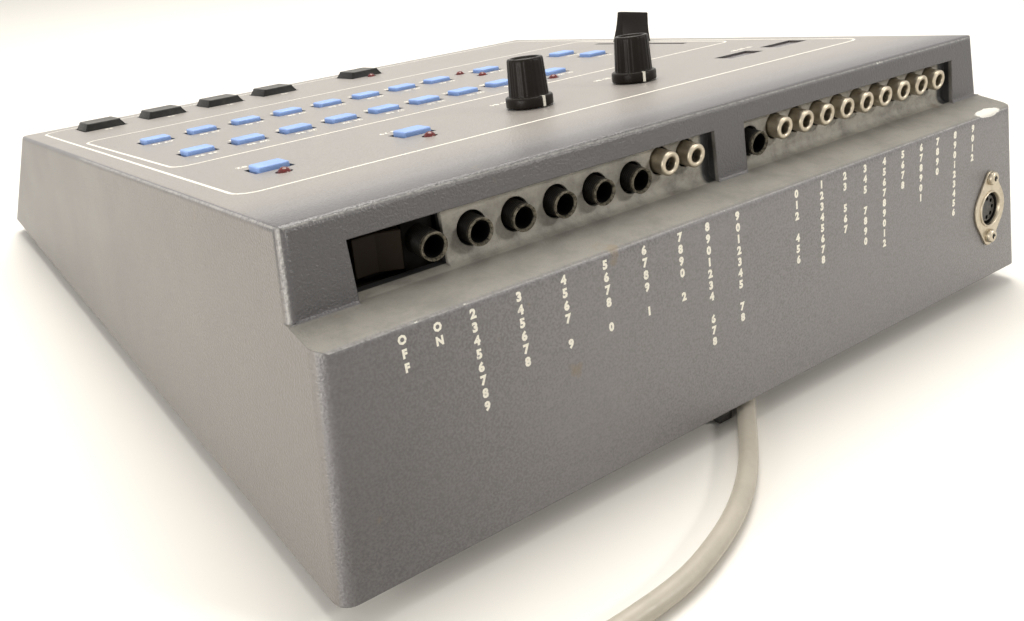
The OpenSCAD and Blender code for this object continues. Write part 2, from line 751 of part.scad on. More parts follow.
module din_flange() {
    tip_r = 3.4;
    color("lightgray") above_floor() on_rear(din_x, din_s) difference() {
        linear_extrude(din_plate_t) difference() {
            hull() {
                circle(d = 20.4);
                for (side = [-1, 1]) translate([0, side * din_spacing / 2]) circle(r = tip_r);
            }
            circle(d = din_open);
        }
        for (side = [-1, 1]) translate([0, side * din_spacing / 2, -1]) cylinder(d = din_screw_d, h = 4);
    }
}

module din_insert() {
    pins = 5;
    color("black") above_floor() on_rear(din_x, din_s) {
        difference() {
            translate([0, 0, -din_depth]) cylinder(d = din_open + 1.6, h = din_depth);
            translate([0, 0, -din_depth + 1.6]) cylinder(d = din_open - 0.8, h = din_depth);
        }
        difference() {
            translate([0, 0, -din_depth + 1]) cylinder(d = 10.6, h = din_depth - 1.4);
            for (i = [0 : pins - 1]) rotate([0, 0, 90 + (i - 2) * 45]) translate([0, -3.7, -4])
                cylinder(d = 1.6, h = 5);
        }
    }
}

// ---------------------------------------------------------------- power switch

module switch_housing() {
    half = rocker_w / 2 + SEAT;
    front = rocker_pivot_y - 1;
    top = rocker_z + rocker_h / 2 + 1.8;
    color("black") above_floor() difference() {
        union() {
            box([rocker_x - half, rocker_x + half], [front - 17, front], [jack_board_z, top]);
            for (z = [rocker_z - rocker_h / 2 - 1.8, rocker_z + rocker_h / 2 + 0.4])
                box([rocker_x - 4, rocker_x + 4], [front - SKIN, rocker_pivot_y + 2.4], [z, z + 1.4]);
        }
        box([rocker_x - 4, rocker_x + 4], [rocker_pivot_y - 3.2, front + 1],
            [rocker_z - rocker_h / 2 - 0.4, rocker_z + rocker_h / 2 + 0.4]);
        translate([rocker_x, rocker_pivot_y, rocker_z - rocker_h / 2 - 3])
            cylinder(d = rocker_pin_d + 0.1, h = rocker_h + 6);
    }
}

module rocker() {
    half = rocker_w / 2;
    place = [rocker_x, rocker_pivot_y, rocker_z];
    color("black") above_floor() translate(place) rotate([0, 0, -rocker_tilt]) {
        translate([0, 0, -rocker_h / 2]) linear_extrude(rocker_h)
            polygon([[-half, 2.4], [half, 2.4], [half, 6.6], [0, 5.2], [-half, 6.6]]);
        translate([0, 0, -rocker_h / 2]) cylinder(d = 4.4, h = rocker_h);
        box([-1.6, 1.6], [0, 3], [-rocker_h / 2, rocker_h / 2]);
        translate([0, 0, -rocker_h / 2 - 1.7]) cylinder(d = rocker_pin_d, h = rocker_h + 3.4);
    }
}

// ---------------------------------------------------------------- pieces the player moves

module key(x, t) {
    color("cornflowerblue") above_floor() on_panel(x, t) difference() {
        cap_block(key_w, key_d, key_foot, key_proud, 0.5, 0.5);
        translate([0, 0, key_foot - 1 + (post_top + key_travel + 0.5 - key_foot + 1) / 2])
            cube([post_w + 0.4, post_w + 0.4, post_top + key_travel + 0.5 - key_foot + 1], center = true);
    }
}

module pad(x, t) {
    color("dimgray") above_floor() on_panel(x, t) difference() {
        cap_block(pad_w, pad_d, pad_foot, pad_proud, 1.6, pad_proud - 0.3);
        translate([0, 0, pad_foot - 1 + (post_top + pad_travel + 0.5 - pad_foot + 1) / 2])
            cube([pad_post_w + 0.5, pad_post_w + 0.5, post_top + pad_travel + 1.5 - pad_foot], center = true);
    }
}

module knob(x, pointer) {
    gap = 0.4;
    dish_r = knob_top_d / 2 - 1.4;
    body_r = knob_d / 2 - 0.8;
    color("black") above_floor() on_panel(x, knob_t) rotate([0, 0, pointer]) {
        difference() {
            union() {
                translate([0, 0, gap]) cylinder(d = knob_d, h = knob_skirt_h - gap);
                translate([0, 0, knob_skirt_h - SKIN])
                    cylinder(r1 = body_r, d2 = knob_top_d, h = knob_h - knob_skirt_h + SKIN);
                translate([-0.6, 0, gap]) cube([1.2, knob_d / 2 + 0.15, knob_skirt_h - gap]);
            }
            translate([0, 0, knob_h - 1]) cylinder(r = dish_r, h = 3);
        }
        translate([0, 0, -wall - 5]) cylinder(d = shaft_d, h = knob_h);
    }
}

module slider() {
    shift = slide_at - slide_travel / 2;
    gap = 1;
    color("black") above_floor() on_panel(slider_x, slider_mid_t + shift) {
        intersection() {
            rotate([90, 0, 0]) linear_extrude(20, center = true)
                polygon([[-cap_w / 2, gap], [cap_w / 2, gap],
                         [cap_w / 2 - 1.4, cap_h], [1.4 - cap_w / 2, cap_h]]);
            rotate([90, 0, 90]) linear_extrude(2 * cap_w, center = true)
                polygon([[-4, gap], [4, gap], [2, cap_h], [-2, cap_h]]);
        }
        translate([-0.7, -2, -board_depth + 2.4]) cube([1.4, 4, board_depth - 2.4 + gap + SKIN]);
    }
}

// ---------------------------------------------------------------- inner parts

module transformer() {
    c = [half_case - 70, rear_y - 116];
    core = [50, 42];
    core_h = 40;
    color("slategray") above_floor() {
        difference() {
            box(from(c[0], [-core[0] / 2, core[0] / 2]), from(c[1], [-core[1] / 2, core[1] / 2]),
                [plate_top, plate_top + core_h]);
            for (side = [-1, 1]) box(from(c[0] + side * 12, [-5, 5]), from(c[1], [-core[1], core[1]]),
                [plate_top + 8, plate_top + core_h - 8]);
        }
        box(from(c[0], [-16.8, 16.8]), from(c[1], [-core[1] / 2 - 8, core[1] / 2 + 8]),
            [plate_top + 8.4, plate_top + core_h - 8.4]);
    }
}

module heat_sink() {
    z = main_board_z + board_t;
    x = main_board_x[0] + 20;
    y = main_board_y[1] - 30;
    back_t = 3;
    fins = 8;
    fin_pitch = 8;
    color("silver") above_floor() {
        box([x, x + 60], [y, y + back_t], [z, z + 26]);
        for (i = [0 : fins - 1])
            box(from(x + i * fin_pitch, [0, 2]), [y + back_t - SKIN, y + 17], [z + 2, z + 26]);
    }
}

module capacitors() {
    z = main_board_z + board_t;
    x = main_board_x[1];
    y = main_board_y[1];
    color("midnightblue") above_floor() {
        for (i = [0 : 2]) translate([x - 86 + 20 * i, y - 24, z]) cylinder(d = 16, h = 26);
        for (back = [20, 32]) translate([x - 24, y - back, z]) cylinder(d = 9, h = 13);
    }
}

module chips() {
    z = main_board_z + board_t;
    x = main_board_x[0];
    color("black") above_floor() {
        for (i = [0 : 5], j = [0 : 2])
            box(from(x + 8 + i * 26, [0, 8]), from(main_board_y[0] + 16 + j * 50, [0, 20]), [z, z + 4]);
        for (i = [0 : 3])
            box(from(x + 12 + i * 36, [0, 15]), from(main_board_y[1] - 80, [0, 37]), [z, z + 5]);
    }
}

module ribbon(x, w, y, z0, z1) {
    n = 10;
    bulge = 3;
    function wave(i) = y + bulge * sin(360 * i / n);
    along_x(x, x + w) polygon(concat(
        [for (i = [0 : n]) [wave(i) - 0.5, z0 + (z1 - z0) * i / n]],
        [for (i = [n : -1 : 0]) [wave(i) + 0.5, z0 + (z1 - z0) * i / n]]));
}

module ribbon_cables() {
    z = main_board_z + board_t;
    y = main_board_y[0] + 51;
    y_rear = main_board_y[1] - 8;
    t = (top_y - y) / cos(top_slope);
    under_z = rear_h - (top_y - y) * tan(top_slope) - (board_depth + board_t) / cos(top_slope);
    color("lightgray") above_floor() {
        box([-20, 12], from(y, [-3, 3]), [z, z + 7]);
        ribbon(-18, 28, y, z + 7 - SKIN, under_z - 7.6);
        difference() {
            box([-20, 12], from(y, [-3, 3]), [under_z - 7.6 - SKIN, under_z + 3]);
            on_panel(0, t) translate([0, 0, -board_depth - board_t + 20]) cube([100, 60, 40], center = true);
        }
        for (low = [z, jack_board_z - board_t - 7]) box([-56, -30], from(y_rear, [-3, 3]), [low, low + 7]);
        ribbon(-54, 22, y_rear, z + 7 - SKIN, jack_board_z - board_t - 7 + SKIN);
    }
}

// ---------------------------------------------------------------- output

top_shell();
base_plate();
feet();
screws();
strain_relief();
power_cord();
cord_coil();
power_plug();
main_board();
jack_board();
panel_board();
board_posts();
key_switches();
lamps();
display_digits();
display_windows();
knob_pots();
slide_pot();
jacks();
phono_shells();
phono_cores();
din_flange();
din_insert();
switch_housing();
transformer();
heat_sink();
capacitors();
chips();
ribbon_cables();
rocker();
slider();
knob(knob_x[0], 15);  // knob_1
knob(knob_x[1], 0);  // knob_2
for (i = [1 : 9]) {
    key(key_columns[i - 1], rear_row_t);
    key(key_columns[i - 1], front_row_t);
}
for (i = [1 : 2]) {
    key(side_key_x, side_key_t[i - 1]);
    key(transport_x[i - 1], transport_t);
}
for (i = [1 : 4]) pad(pad_columns[i - 1], pad_t);
pad(run_pad_x, pad_t);  // run_pad
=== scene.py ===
"""Desktop drum machine: the finish of every piece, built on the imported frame."""
import json
import math

import bmesh
import bpy
from mathutils import Matrix, Quaternion, Vector

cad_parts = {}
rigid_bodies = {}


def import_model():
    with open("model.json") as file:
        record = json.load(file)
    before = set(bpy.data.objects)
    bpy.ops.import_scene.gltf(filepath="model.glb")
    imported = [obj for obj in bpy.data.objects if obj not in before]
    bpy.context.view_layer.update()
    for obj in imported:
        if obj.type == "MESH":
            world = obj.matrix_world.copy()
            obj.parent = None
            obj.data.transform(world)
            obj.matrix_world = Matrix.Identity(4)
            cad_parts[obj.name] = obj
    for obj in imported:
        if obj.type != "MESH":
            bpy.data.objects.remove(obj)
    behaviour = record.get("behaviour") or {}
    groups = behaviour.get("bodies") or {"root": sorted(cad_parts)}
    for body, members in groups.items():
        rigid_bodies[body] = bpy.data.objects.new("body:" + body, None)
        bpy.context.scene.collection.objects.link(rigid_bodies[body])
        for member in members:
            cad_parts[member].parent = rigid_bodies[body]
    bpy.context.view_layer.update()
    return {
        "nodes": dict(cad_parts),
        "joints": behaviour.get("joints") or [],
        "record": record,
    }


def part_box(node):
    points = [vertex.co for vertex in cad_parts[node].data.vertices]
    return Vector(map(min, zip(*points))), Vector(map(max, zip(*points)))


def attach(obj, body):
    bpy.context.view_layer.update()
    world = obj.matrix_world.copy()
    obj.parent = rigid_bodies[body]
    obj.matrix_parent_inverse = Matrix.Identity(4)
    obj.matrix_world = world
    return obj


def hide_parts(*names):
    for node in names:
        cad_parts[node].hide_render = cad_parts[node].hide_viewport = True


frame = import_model()

bl_info = {
    "name": "Drum Machine Finish",
    "version": (1, 0, 0),
    "blender": (4, 5, 0),
    "location": "View3D > Sidebar > Drum Machine",
    "description": "Finishes a desktop drum machine: painted case, keys, knobs, jacks and mains cord",
    "category": "Add Mesh",
}

MM = 0.001
CASE = "case"
JOINTS = {joint["name"]: joint for joint in frame["joints"]}
MOUNTS = {mount["name"]: mount for mount in frame["record"]["mounts"]}

# ---------------------------------------------------------------- places read from the frame

KNOB_T = 72.3 * MM                       # the knobs' distance down the panel from its rear edge
SOCKET_S = 37.5 * MM                     # the control socket's distance below the ledge
NORMAL = Vector(JOINTS["knob_1_turn"]["axis"]).normalized()
UPHILL = Vector((1, 0, 0)).cross(NORMAL) * -1
REAR_NORMAL = Vector(MOUNTS["control_socket"]["axis"]).normalized()
REAR_UP = Vector((-1, 0, 0)).cross(REAR_NORMAL) * -1


def placed(right, up, out, origin):
    """The matrix that takes X, Y and Z to right, up and out at an origin."""
    columns = (*right, 0), (*up, 0), (*out, 0), (*origin, 1)
    return Matrix(columns).transposed()


def level_origin(point, up, distance):
    """A point moved up a face, at x = 0."""
    moved = Vector(point) + up * distance
    return Vector((0, moved.y, moved.z))


PANEL = placed((1, 0, 0), UPHILL, NORMAL, level_origin(JOINTS["knob_1_turn"]["pos_m"], UPHILL, KNOB_T))
REAR = placed((-1, 0, 0), REAR_UP, REAR_NORMAL, level_origin(MOUNTS["control_socket"]["pos_m"], REAR_UP, SOCKET_S))
# the upper rear face: a point on its foot, the way up it, and its direction
WINDOW = Vector((0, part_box("jacks")[1][1] + 0.4 * MM, MOUNTS["jack_1"]["pos_m"][2] - 8.3 * MM))
UPPER_FACE = PANEL.translation - WINDOW
FACE_NORMAL = UPPER_FACE.cross(Vector((1, 0, 0))).normalized()
SIDE_LEAN = math.radians(6.9)            # how far the case's side walls lean in
# the large chip on the ledge's edge
CHIP = REAR.translation + Vector((-134, -1.4, 0.2)) * MM


def worn_and_highlit_edges():
    """Straight edges above the ledge on the case's +X half, each a point and a direction; along them the paint is
    rubbed and a highlight painted.
    """
    case_high = Vector(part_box("top_shell")[1])
    foot = Vector(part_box("top_shell")[0])
    half = case_high.x
    side = math.tan(SIDE_LEAN)
    top = Vector((half - side * (PANEL.translation.z - foot.z), PANEL.translation.y, PANEL.translation.z))
    low = Vector((half - side * (WINDOW.z - foot.z), WINDOW.y, WINDOW.z))
    down = UPHILL * -1
    return (PANEL.translation, (1, 0, 0)), (top, top - low), (top, down + Vector((-side * down.z, 0, 0)))


def under(face, point, lift=0.0):
    """The place on a face that a point stands over."""
    local = face.inverted() @ Vector(point)
    return face @ Matrix.Translation((local.x, local.y, lift))


def local_box(node, place):
    """Lowest and highest corner of a CAD node, seen from a place."""
    back = place.inverted()
    points = [back @ vertex.co for vertex in frame["nodes"][node].data.vertices]
    return (Vector(min(p[i] for p in points) for i in range(3)),
            Vector(max(p[i] for p in points) for i in range(3)))


def islands(node):
    """Boxes of a CAD node's separate solids, from its own loose triangles."""
    bm = bmesh.new()
    bm.from_mesh(frame["nodes"][node].data)
    bmesh.ops.remove_doubles(bm, verts=bm.verts, dist=1e-6)
    found = []
    left = set(bm.verts)
    while left:
        start = left.pop()
        group, todo = [start], [start]
        while todo:
            for edge in todo.pop().link_edges:
                for vertex in edge.verts:
                    if vertex in left:
                        left.remove(vertex)
                        group.append(vertex)
                        todo.append(vertex)
        found.append((Vector(min(v.co[i] for v in group) for i in range(3)),
                      Vector(max(v.co[i] for v in group) for i in range(3))))
    bm.free()
    return sorted(found, key=lambda box: (round(box[0].x, 4), round(box[0].y, 4), round(box[0].z, 4)))


# ---------------------------------------------------------------- settings


def colour_of(name, what, default):
    """A colour setting."""
    return bpy.props.FloatVectorProperty(name=name, description="Colour of " + what, subtype="COLOR", default=default)


def length_of(name, description, millimetres):
    """A length setting."""
    return bpy.props.FloatProperty(name=name, description=description, unit="LENGTH", default=millimetres * MM)


def share_of(name, description, default, most=1):
    """A setting from 0 up."""
    return bpy.props.FloatProperty(name=name, description=description, default=default, min=0, max=most)


def angle_of(name, description, degrees):
    """An angle setting."""
    return bpy.props.FloatProperty(name=name, description=description, subtype="ANGLE", default=math.radians(degrees))


class CaseSettings(bpy.types.PropertyGroup):
    """Paint and print of the case."""
    paint: colour_of("Paint", "the case's paint", (0.146, 0.140, 0.148))
    bare: colour_of("Bare plastic", "the plastic where the paint is worn away", (0.80, 0.78, 0.72))
    # this dust colour also serves as a painted reflection on the panel, stronger away from its rear edge
    dust: colour_of("Dust", "the film on faces that look up", (0.42, 0.385, 0.34))
    tray: colour_of("Tray", "the ledge and of the sockets' pockets", (0.225, 0.212, 0.187))
    grain: length_of("Grain", "Size of the paint's texture", 0.7)
    relief: length_of("Relief", "Depth of the paint's texture", 0.22)
    # the paint's tone, and painted highlight and shade on the grain's relief
    fleck: share_of("Fleck", "How much the texture's tops are paler than its hollows", 0.3)
    # this share also sets the highlight painted along the edges
    wear: share_of("Wear", "How far the paint is rubbed off the edges", 0.42)
    edge: length_of("Edge radius", "Rounding of the moulding's small edges", 0.45)
    print_colour: colour_of("Print", "the silk-screen print", (0.93, 0.90, 0.80))
    line: length_of("Line", "Width of the printed border lines", 1.0)
    ink: length_of("Ink", "Thickness of the print", 0.04)


class ControlSettings(bpy.types.PropertyGroup):
    """Keys, pads, knobs and slider."""
    key_colour: colour_of("Keys", "the keys", (0.265, 0.42, 0.82))
    pad_colour: colour_of("Pads", "the pads", (0.008, 0.0078, 0.0072))
    knob_colour: colour_of("Knobs", "knobs and slider", (0.0115, 0.0086, 0.0067))
    lamp_colour: colour_of("Lamps", "the unlit lamps", (0.085, 0.007, 0.006))
    flutes: bpy.props.IntProperty(name="Flutes", description="Flutes round a knob", default=24, min=6, max=60)
    flute_depth: length_of("Flute depth", "Depth of a knob's flutes", 0.13)
    key_round: length_of("Key corner", "Radius of a key's corners", 0.8)
    key_dish: length_of("Key dish", "Depth of the hollow in a key's top", 0.18)


class SocketSettings(bpy.types.PropertyGroup):
    """Jacks, phono jacks and the control socket."""
    thread_pitch: length_of("Thread", "Pitch of the jack nose's thread", 0.75)
    thread_depth: length_of("Thread depth", "Depth of the jack nose's thread", 0.22)
    nickel: colour_of("Nickel", "the dull nickel", (0.52, 0.465, 0.37))
    black: colour_of("Black plastic", "the sockets' plastic", (0.007, 0.006, 0.0048))


class CordSettings(bpy.types.PropertyGroup):
    """The mains cord."""
    diameter: length_of("Diameter", "Diameter of the cord", 6.2)
    coil_radius: length_of("Coil", "Radius of the coil's outer turn", 46)
    vinyl: colour_of("Vinyl", "the cord", (0.48, 0.44, 0.37))


class StageSettings(bpy.types.PropertyGroup):
    """Floor, lamps and camera."""
    floor: colour_of("Floor", "the floor", (0.88, 0.86, 0.82))
    backdrop: colour_of("Backdrop", "what is behind everything", (1.0, 0.975, 0.94))
    ambient: share_of("Ambient", "Strength of the light from all round", 0.7, 4)
    dim: share_of("Dim side", "Share of the ambient light that comes from the dim side", 0.06)
    key_power: bpy.props.FloatProperty(
        name="Key lamp", description="Power that each lamp has a share of", default=9.8, unit="POWER")
    lamp_colour: colour_of("Lamp colour", "the lamps", (1.0, 0.965, 0.90))
    lens: bpy.props.FloatProperty(
        name="Lens", description="Focal length in millimetres on a 36 mm sensor", default=33.236)
    eye: bpy.props.FloatVectorProperty(
        name="Eye", description="Place of the camera", subtype="TRANSLATION", default=(0.22177, 0.36614, 0.17604))
    yaw: angle_of("Yaw", "Direction of the view round Z", -125.003)
    pitch: angle_of("Pitch", "Slope of the view", -26.226)
    roll: angle_of("Roll", "Turn of the picture about the view", -3.517)


SETTINGS = {
    "drum_case": CaseSettings,
    "drum_controls": ControlSettings,
    "drum_sockets": SocketSettings,
    "drum_cord": CordSettings,
    "drum_stage": StageSettings,
}


def settings(name):
    """The scene's settings of one group."""
    return getattr(bpy.context.scene, name)


# ---------------------------------------------------------------- finishes


class Wiring:
    """A node tree that is written with short calls."""

    def __init__(self, tree):
        self.tree = tree

    def add(self, kind, **inputs):
        """A node with its inputs set to values or linked to sockets, by name with _ for spaces."""
        node = self.tree.nodes.new(kind)
        for key, value in inputs.items():
            self.feed(node.inputs[int(key[1:]) if key[1:].isdigit() else key.replace("_", " ")], value)
        return node

    def feed(self, socket, value):
        """Links a socket, or sets its value."""
        if isinstance(value, bpy.types.NodeSocket):
            self.tree.links.new(value, socket)
        else:
            socket.default_value = value

    def maths(self, operation, a, b=0.0, c=0.0):
        node = self.add("ShaderNodeMath", _0=a, _1=b, _2=c)
        node.operation = operation
        return node.outputs[0]

    def product(self, *shares):
        """Shares multiplied together."""
        whole = shares[0]
        for share in shares[1:]:
            whole = self.maths("MULTIPLY", whole, share)
        return whole

    def most(self, *shares):
        """The largest of some shares."""
        whole = shares[0]
        for share in shares[1:]:
            whole = self.maths("MAXIMUM", whole, share)
        return whole

    def vector(self, operation, a, b=(0, 0, 0)):
        """A vector operation; its number where it gives one."""
        node = self.add("ShaderNodeVectorMath", _0=a, _1=b)
        node.operation = operation
        return node.outputs["Value" if operation in ("DOT_PRODUCT", "LENGTH") else "Vector"]

    def parts(self, vector):
        """The X, Y and Z outputs of a vector."""
        return self.add("ShaderNodeSeparateXYZ", Vector=vector).outputs


class Finish(Wiring):
    """A material whose patterns read Object coordinates."""

    def __init__(self, name, colour, roughness, metallic=0.0, **sockets):
        self.material = bpy.data.materials.new(name)
        self.material.use_nodes = True
        super().__init__(self.material.node_tree)
        self.shader = self.tree.nodes["Principled BSDF"]
        sockets.update(Base_Color=(*colour, 1), Roughness=roughness, Metallic=metallic)
        for socket, value in sockets.items():
            self.shader.inputs[socket.replace("_", " ")].default_value = value
        self.where = self.add("ShaderNodeTexCoord").outputs["Object"]
        self.normal = None

    def facing(self):
        """The X, Y and Z outputs of the surface's own direction."""
        return self.parts(self.add("ShaderNodeNewGeometry").outputs["Normal"])

    def noise(self, size, detail=4.0, roughness=0.55, stretch=None):
        """Smooth noise with features of that size in metres."""
        where = self.where
        if stretch:
            where = self.add("ShaderNodeMapping", Vector=where, Scale=stretch).outputs[0]
        node = self.add("ShaderNodeTexNoise", Vector=where, Scale=1 / size, Detail=detail, Roughness=roughness)
        return node.outputs["Fac"]

    def ramp(self, value, low, high, start=0.0, end=1.0):
        """A value stretched from low..high to start..end and held there."""
        node = self.add("ShaderNodeMapRange", Value=value, From_Min=low, From_Max=high, To_Min=start, To_Max=end)
        return node.outputs["Result"]

    def ramp_mm(self, value, low, high, start=0.0, end=1.0):
        """The same for a length, with low and high in millimetres."""
        return self.ramp(value, low * MM, high * MM, start, end)

    def blend(self, share, a, b):
        """Colour a where share is 0 and b where it is 1."""
        node = self.tree.nodes.new("ShaderNodeMix")
        node.data_type = "RGBA"
        for socket, value in zip((node.inputs[0], node.inputs[6], node.inputs[7]), (share, a, b)):
            self.feed(socket, (*value, 1) if isinstance(value, (tuple, list)) or hasattr(value, "hsv") else value)
        return node.outputs[2]

    def colour(self, socket):
        self.feed(self.shader.inputs["Base Color"], socket)

    def rough(self, socket):
        self.feed(self.shader.inputs["Roughness"], socket)

    def bump(self, height, depth, strength=1.0):
        """Relief of that depth in metres, over what relief there is."""
        node = self.add("ShaderNodeBump", Height=height, Distance=depth, Strength=strength)
        if self.normal:
            self.feed(node.inputs["Normal"], self.normal)
        self.bend(node)

    def soften(self, radius):
        """Rounds the look of sharp edges."""
        node = self.add("ShaderNodeBevel", Radius=radius)
        node.samples = 6
        self.bend(node)

    def bend(self, node):
        """Makes a node's direction the shader's own."""
        self.normal = node.outputs[0]
        self.feed(self.shader.inputs["Normal"], self.normal)

    def along(self, point, direction):
        """Distance from a point, measured along a direction."""
        return self.vector("DOT_PRODUCT", self.vector("SUBTRACT", self.where, tuple(point)), tuple(direction))

    def rim(self, where, point, along, near, far):
        """1 within near of a straight edge, 0 beyond far."""
        away = self.vector("SUBTRACT", where, tuple(point))
        across = self.vector("CROSS_PRODUCT", away, tuple(Vector(along).normalized()))
        return self.ramp(self.vector("LENGTH", across), far, near)

    def spot(self, point, reach, edge):
        """1 in an oval round a point, with a ragged edge."""
        away = self.vector("SUBTRACT", self.where, tuple(point))
        away = self.vector("LENGTH", self.vector("DIVIDE", away, tuple(reach)))
        ragged = self.maths("ADD", away, self.ramp(self.noise(edge, 5.0, 0.65), 0.3, 0.7, -0.14, 0.14))
        return self.ramp(ragged, 1.02, 0.94)


def shaded(colour, share):
    """A colour made darker or paler."""
    return [c * share for c in colour]


SIDE_LIGHT_TINT = (0.146, 0.132, 0.117)             # warm tint on the side faces: painted light
LOW_REAR_LIGHT = (0.35, 0.33, 0.315)              # paler paint low on the rear face: painted light
STAIN = (0.22, 0.16, 0.085)
HAZE = (0.42, 0.40, 0.36)                # dust on keys, pads and knobs
WORN_TIP = (0.19, 0.17, 0.13)
RIM_NEAR, RIM_FAR = 1.2 * MM, 2 * MM     # how far from an edge the paint is rubbed and a highlight painted
CHIP_REACH = (7.6 * MM, 2.9 * MM, 1.6 * MM)


def tray_masks(paint, place, up):
    """1 on the ledge; 1 in the sockets' pockets; 1 where black shadow is painted: deeper in the holes, inside the
    case, and at the pockets' ends.
    """
    x, y, z = place["X"], place["Y"], place["Z"]
    behind = paint.along(WINDOW, FACE_NORMAL)
    inside = paint.product(paint.ramp_mm(z, 93.5, 92.5), paint.ramp_mm(y, 120, 121),
                           paint.ramp_mm(paint.maths("ABSOLUTE", x), 142, 141))
    pocket = paint.product(inside, paint.ramp_mm(behind, -0.8, -1.6))
    past_left, past_right = (paint.ramp(x, MOUNTS[name]["pos_m"][0] - 5.5 * MM, MOUNTS[name]["pos_m"][0] - 7 * MM)
                             for name in ("phono_2", "phono_11"))
    # the pockets' ends beyond the end phono jacks, which are painted black as shadow
    gap = paint.most(paint.product(past_left, paint.ramp_mm(x, -4, -3)), past_right)
    painted_shadow = paint.most(paint.product(inside, paint.ramp_mm(behind, -4.6, -5)), paint.product(pocket, gap))
    return paint.product(paint.ramp(up, 0.72, 0.95), paint.ramp_mm(y, 167, 168)), pocket, painted_shadow


def worn_and_highlit_paint(paint, place, facing, side_on):
    """1 where the case's edges are rubbed, and where a highlight is painted along them."""
    mirrored = paint.parts(paint.vector("ABSOLUTE", paint.where))["X"]
    where = paint.add("ShaderNodeCombineXYZ", X=mirrored, Y=place["Y"], Z=place["Z"]).outputs[0]
    above = paint.most(*(paint.rim(where, point, along, RIM_NEAR, RIM_FAR) for point, along in worn_and_highlit_edges()))
    above = paint.product(above, paint.ramp(place["Z"], WINDOW.z - 0.5 * MM, WINDOW.z + 0.5 * MM))
    worn_and_highlit = paint.most(above, paint.rim(where, REAR.translation, (1, 0, 0), RIM_NEAR, RIM_FAR))
    flat = paint.most(side_on, paint.maths("ABSOLUTE", facing["Y"]), facing["Z"])
    return paint.product(worn_and_highlit, paint.ramp(flat, 0.85, 0.74))


def paint_finish():
    """Leathery paint over moulded plastic: dusty where it faces up, rubbed along its edges, with painted light, shade
    and highlights.
    """
    case = settings("drum_case")
    paint = Finish("case_paint", case.paint, 0.34, Specular_IOR_Level=0.7)
    paint.soften(case.edge)
    ramp, ramp_mm, product, blend = paint.ramp, paint.ramp_mm, paint.product, paint.blend
    facing, place = paint.facing(), paint.parts(paint.where)
    side_on = paint.maths("ABSOLUTE", facing["X"])
    rearward = ramp(facing["Y"], 0.6, 0.9)
    downhill = paint.along(PANEL.translation, UPHILL * -1)

    # the paint itself
    pebble = paint.noise(case.grain, 3.0, 0.5)
    cloud = paint.noise(60 * MM, 4.0)
    # grain tops paler and hollows darker, from the same noise as the bump: the paint's tone with painted highlight and
    # shade on its relief
    tint = blend(ramp(pebble, 0.38, 0.62), shaded(case.paint, 1 - case.fleck), shaded(case.paint, 1 + case.fleck))
    tint = blend(ramp(cloud, 0.35, 0.75, 0.0, 0.5), tint, shaded(case.paint, 1.3))

    # painted warm light on the sides; dust on the panel, laid on more thickly away from its rear edge as a painted
    # reflection; painted shade on the upper rear face, along the panel's rear edge and towards the rear's +X end
    tint = blend(ramp(side_on, 0.7, 0.9, 0.0, 0.7), tint, SIDE_LIGHT_TINT)
    # dust on the panel's upward faces, thicker away from its rear edge: partly dust, partly a painted reflection
    tint = blend(product(ramp(facing["Z"], 0.9, 0.98), ramp_mm(downhill, 2, 36, 0.02, 0.54)), tint, case.dust)
    # painted shade at half the paint's brightness: the upper rear face, and a strip of the panel along its rear edge
    shaded_upper_face = product(ramp(place["Z"], WINDOW.z, WINDOW.z + 2 * MM), rearward, 0.95)
    shaded_rear_strip = product(ramp_mm(downhill, 16, 2), ramp_mm(downhill, -3, -2), ramp(facing["Z"], 0.15, 0.5), 0.84)
    tint = blend(paint.most(shaded_upper_face, shaded_rear_strip), tint, shaded(case.paint, 0.5))
    # painted shade: rear-facing paint darker towards the +X end
    tint = blend(product(ramp_mm(place["X"], 85, 150), rearward, 0.5), tint, shaded(case.paint, 0.42))

    # ledge, pockets painted paler as painted light, and painted black shadow in the holes behind them, inside the case
    # and at the pockets' ends
    ledge, pocket, painted_shadow = tray_masks(paint, place, facing["Z"])
    soiled = ramp(paint.noise(11 * MM, 6.0, 0.68), 0.44, 0.70)
    tint = blend(ledge, tint, blend(soiled, case.tray, shaded(case.tray, 0.72)))
    # pocket walls up to 1.8 times paler than the tray: painted light reaching into the pockets, with dirt patches
    tint = blend(pocket, tint, blend(soiled, shaded(case.tray, 1.8), shaded(case.tray, 0.75)))
    # painted shadow: near black in the holes, inside the case and at the pockets' ends
    tint = blend(painted_shadow, tint, shaded(case.paint, 0.04))
    # painted light: paler paint low on the rear face, more of it towards the -X end
    lit_low_rear = product(ramp_mm(place["Z"], 70, 74, 1.0, 0.0), rearward, ramp_mm(place["X"], 60, 140, 0.22, 0.04))
    tint = blend(lit_low_rear, tint, LOW_REAR_LIGHT)

    # edges rubbed bare and given a painted highlight, chips and stains
    worn_and_highlit = worn_and_highlit_paint(paint, place, facing, side_on)
    patchy = ramp(paint.noise(2.4 * MM, 6.0, 0.7), 0.32, 0.62)
    tint = blend(product(worn_and_highlit, patchy, case.wear), tint, shaded(case.bare, 0.8))
    chips = product(ramp(paint.noise(9 * MM, 9.0, 0.74), 0.66, 0.67), worn_and_highlit)
    tint = blend(paint.most(chips, paint.spot(CHIP, CHIP_REACH, 3 * MM)), tint, case.bare)
    tint = blend(ramp(paint.noise(17 * MM, 3.0, 0.6), 0.70, 0.76, 0.0, 0.5), tint, STAIN)

    paint.colour(tint)
    paint.rough(paint.maths("MULTIPLY_ADD", paint.most(ledge, pocket), 0.25, ramp(cloud, 0.3, 0.7, 0.30, 0.42)))
    paint.bump(pebble, case.relief)
    return paint.material


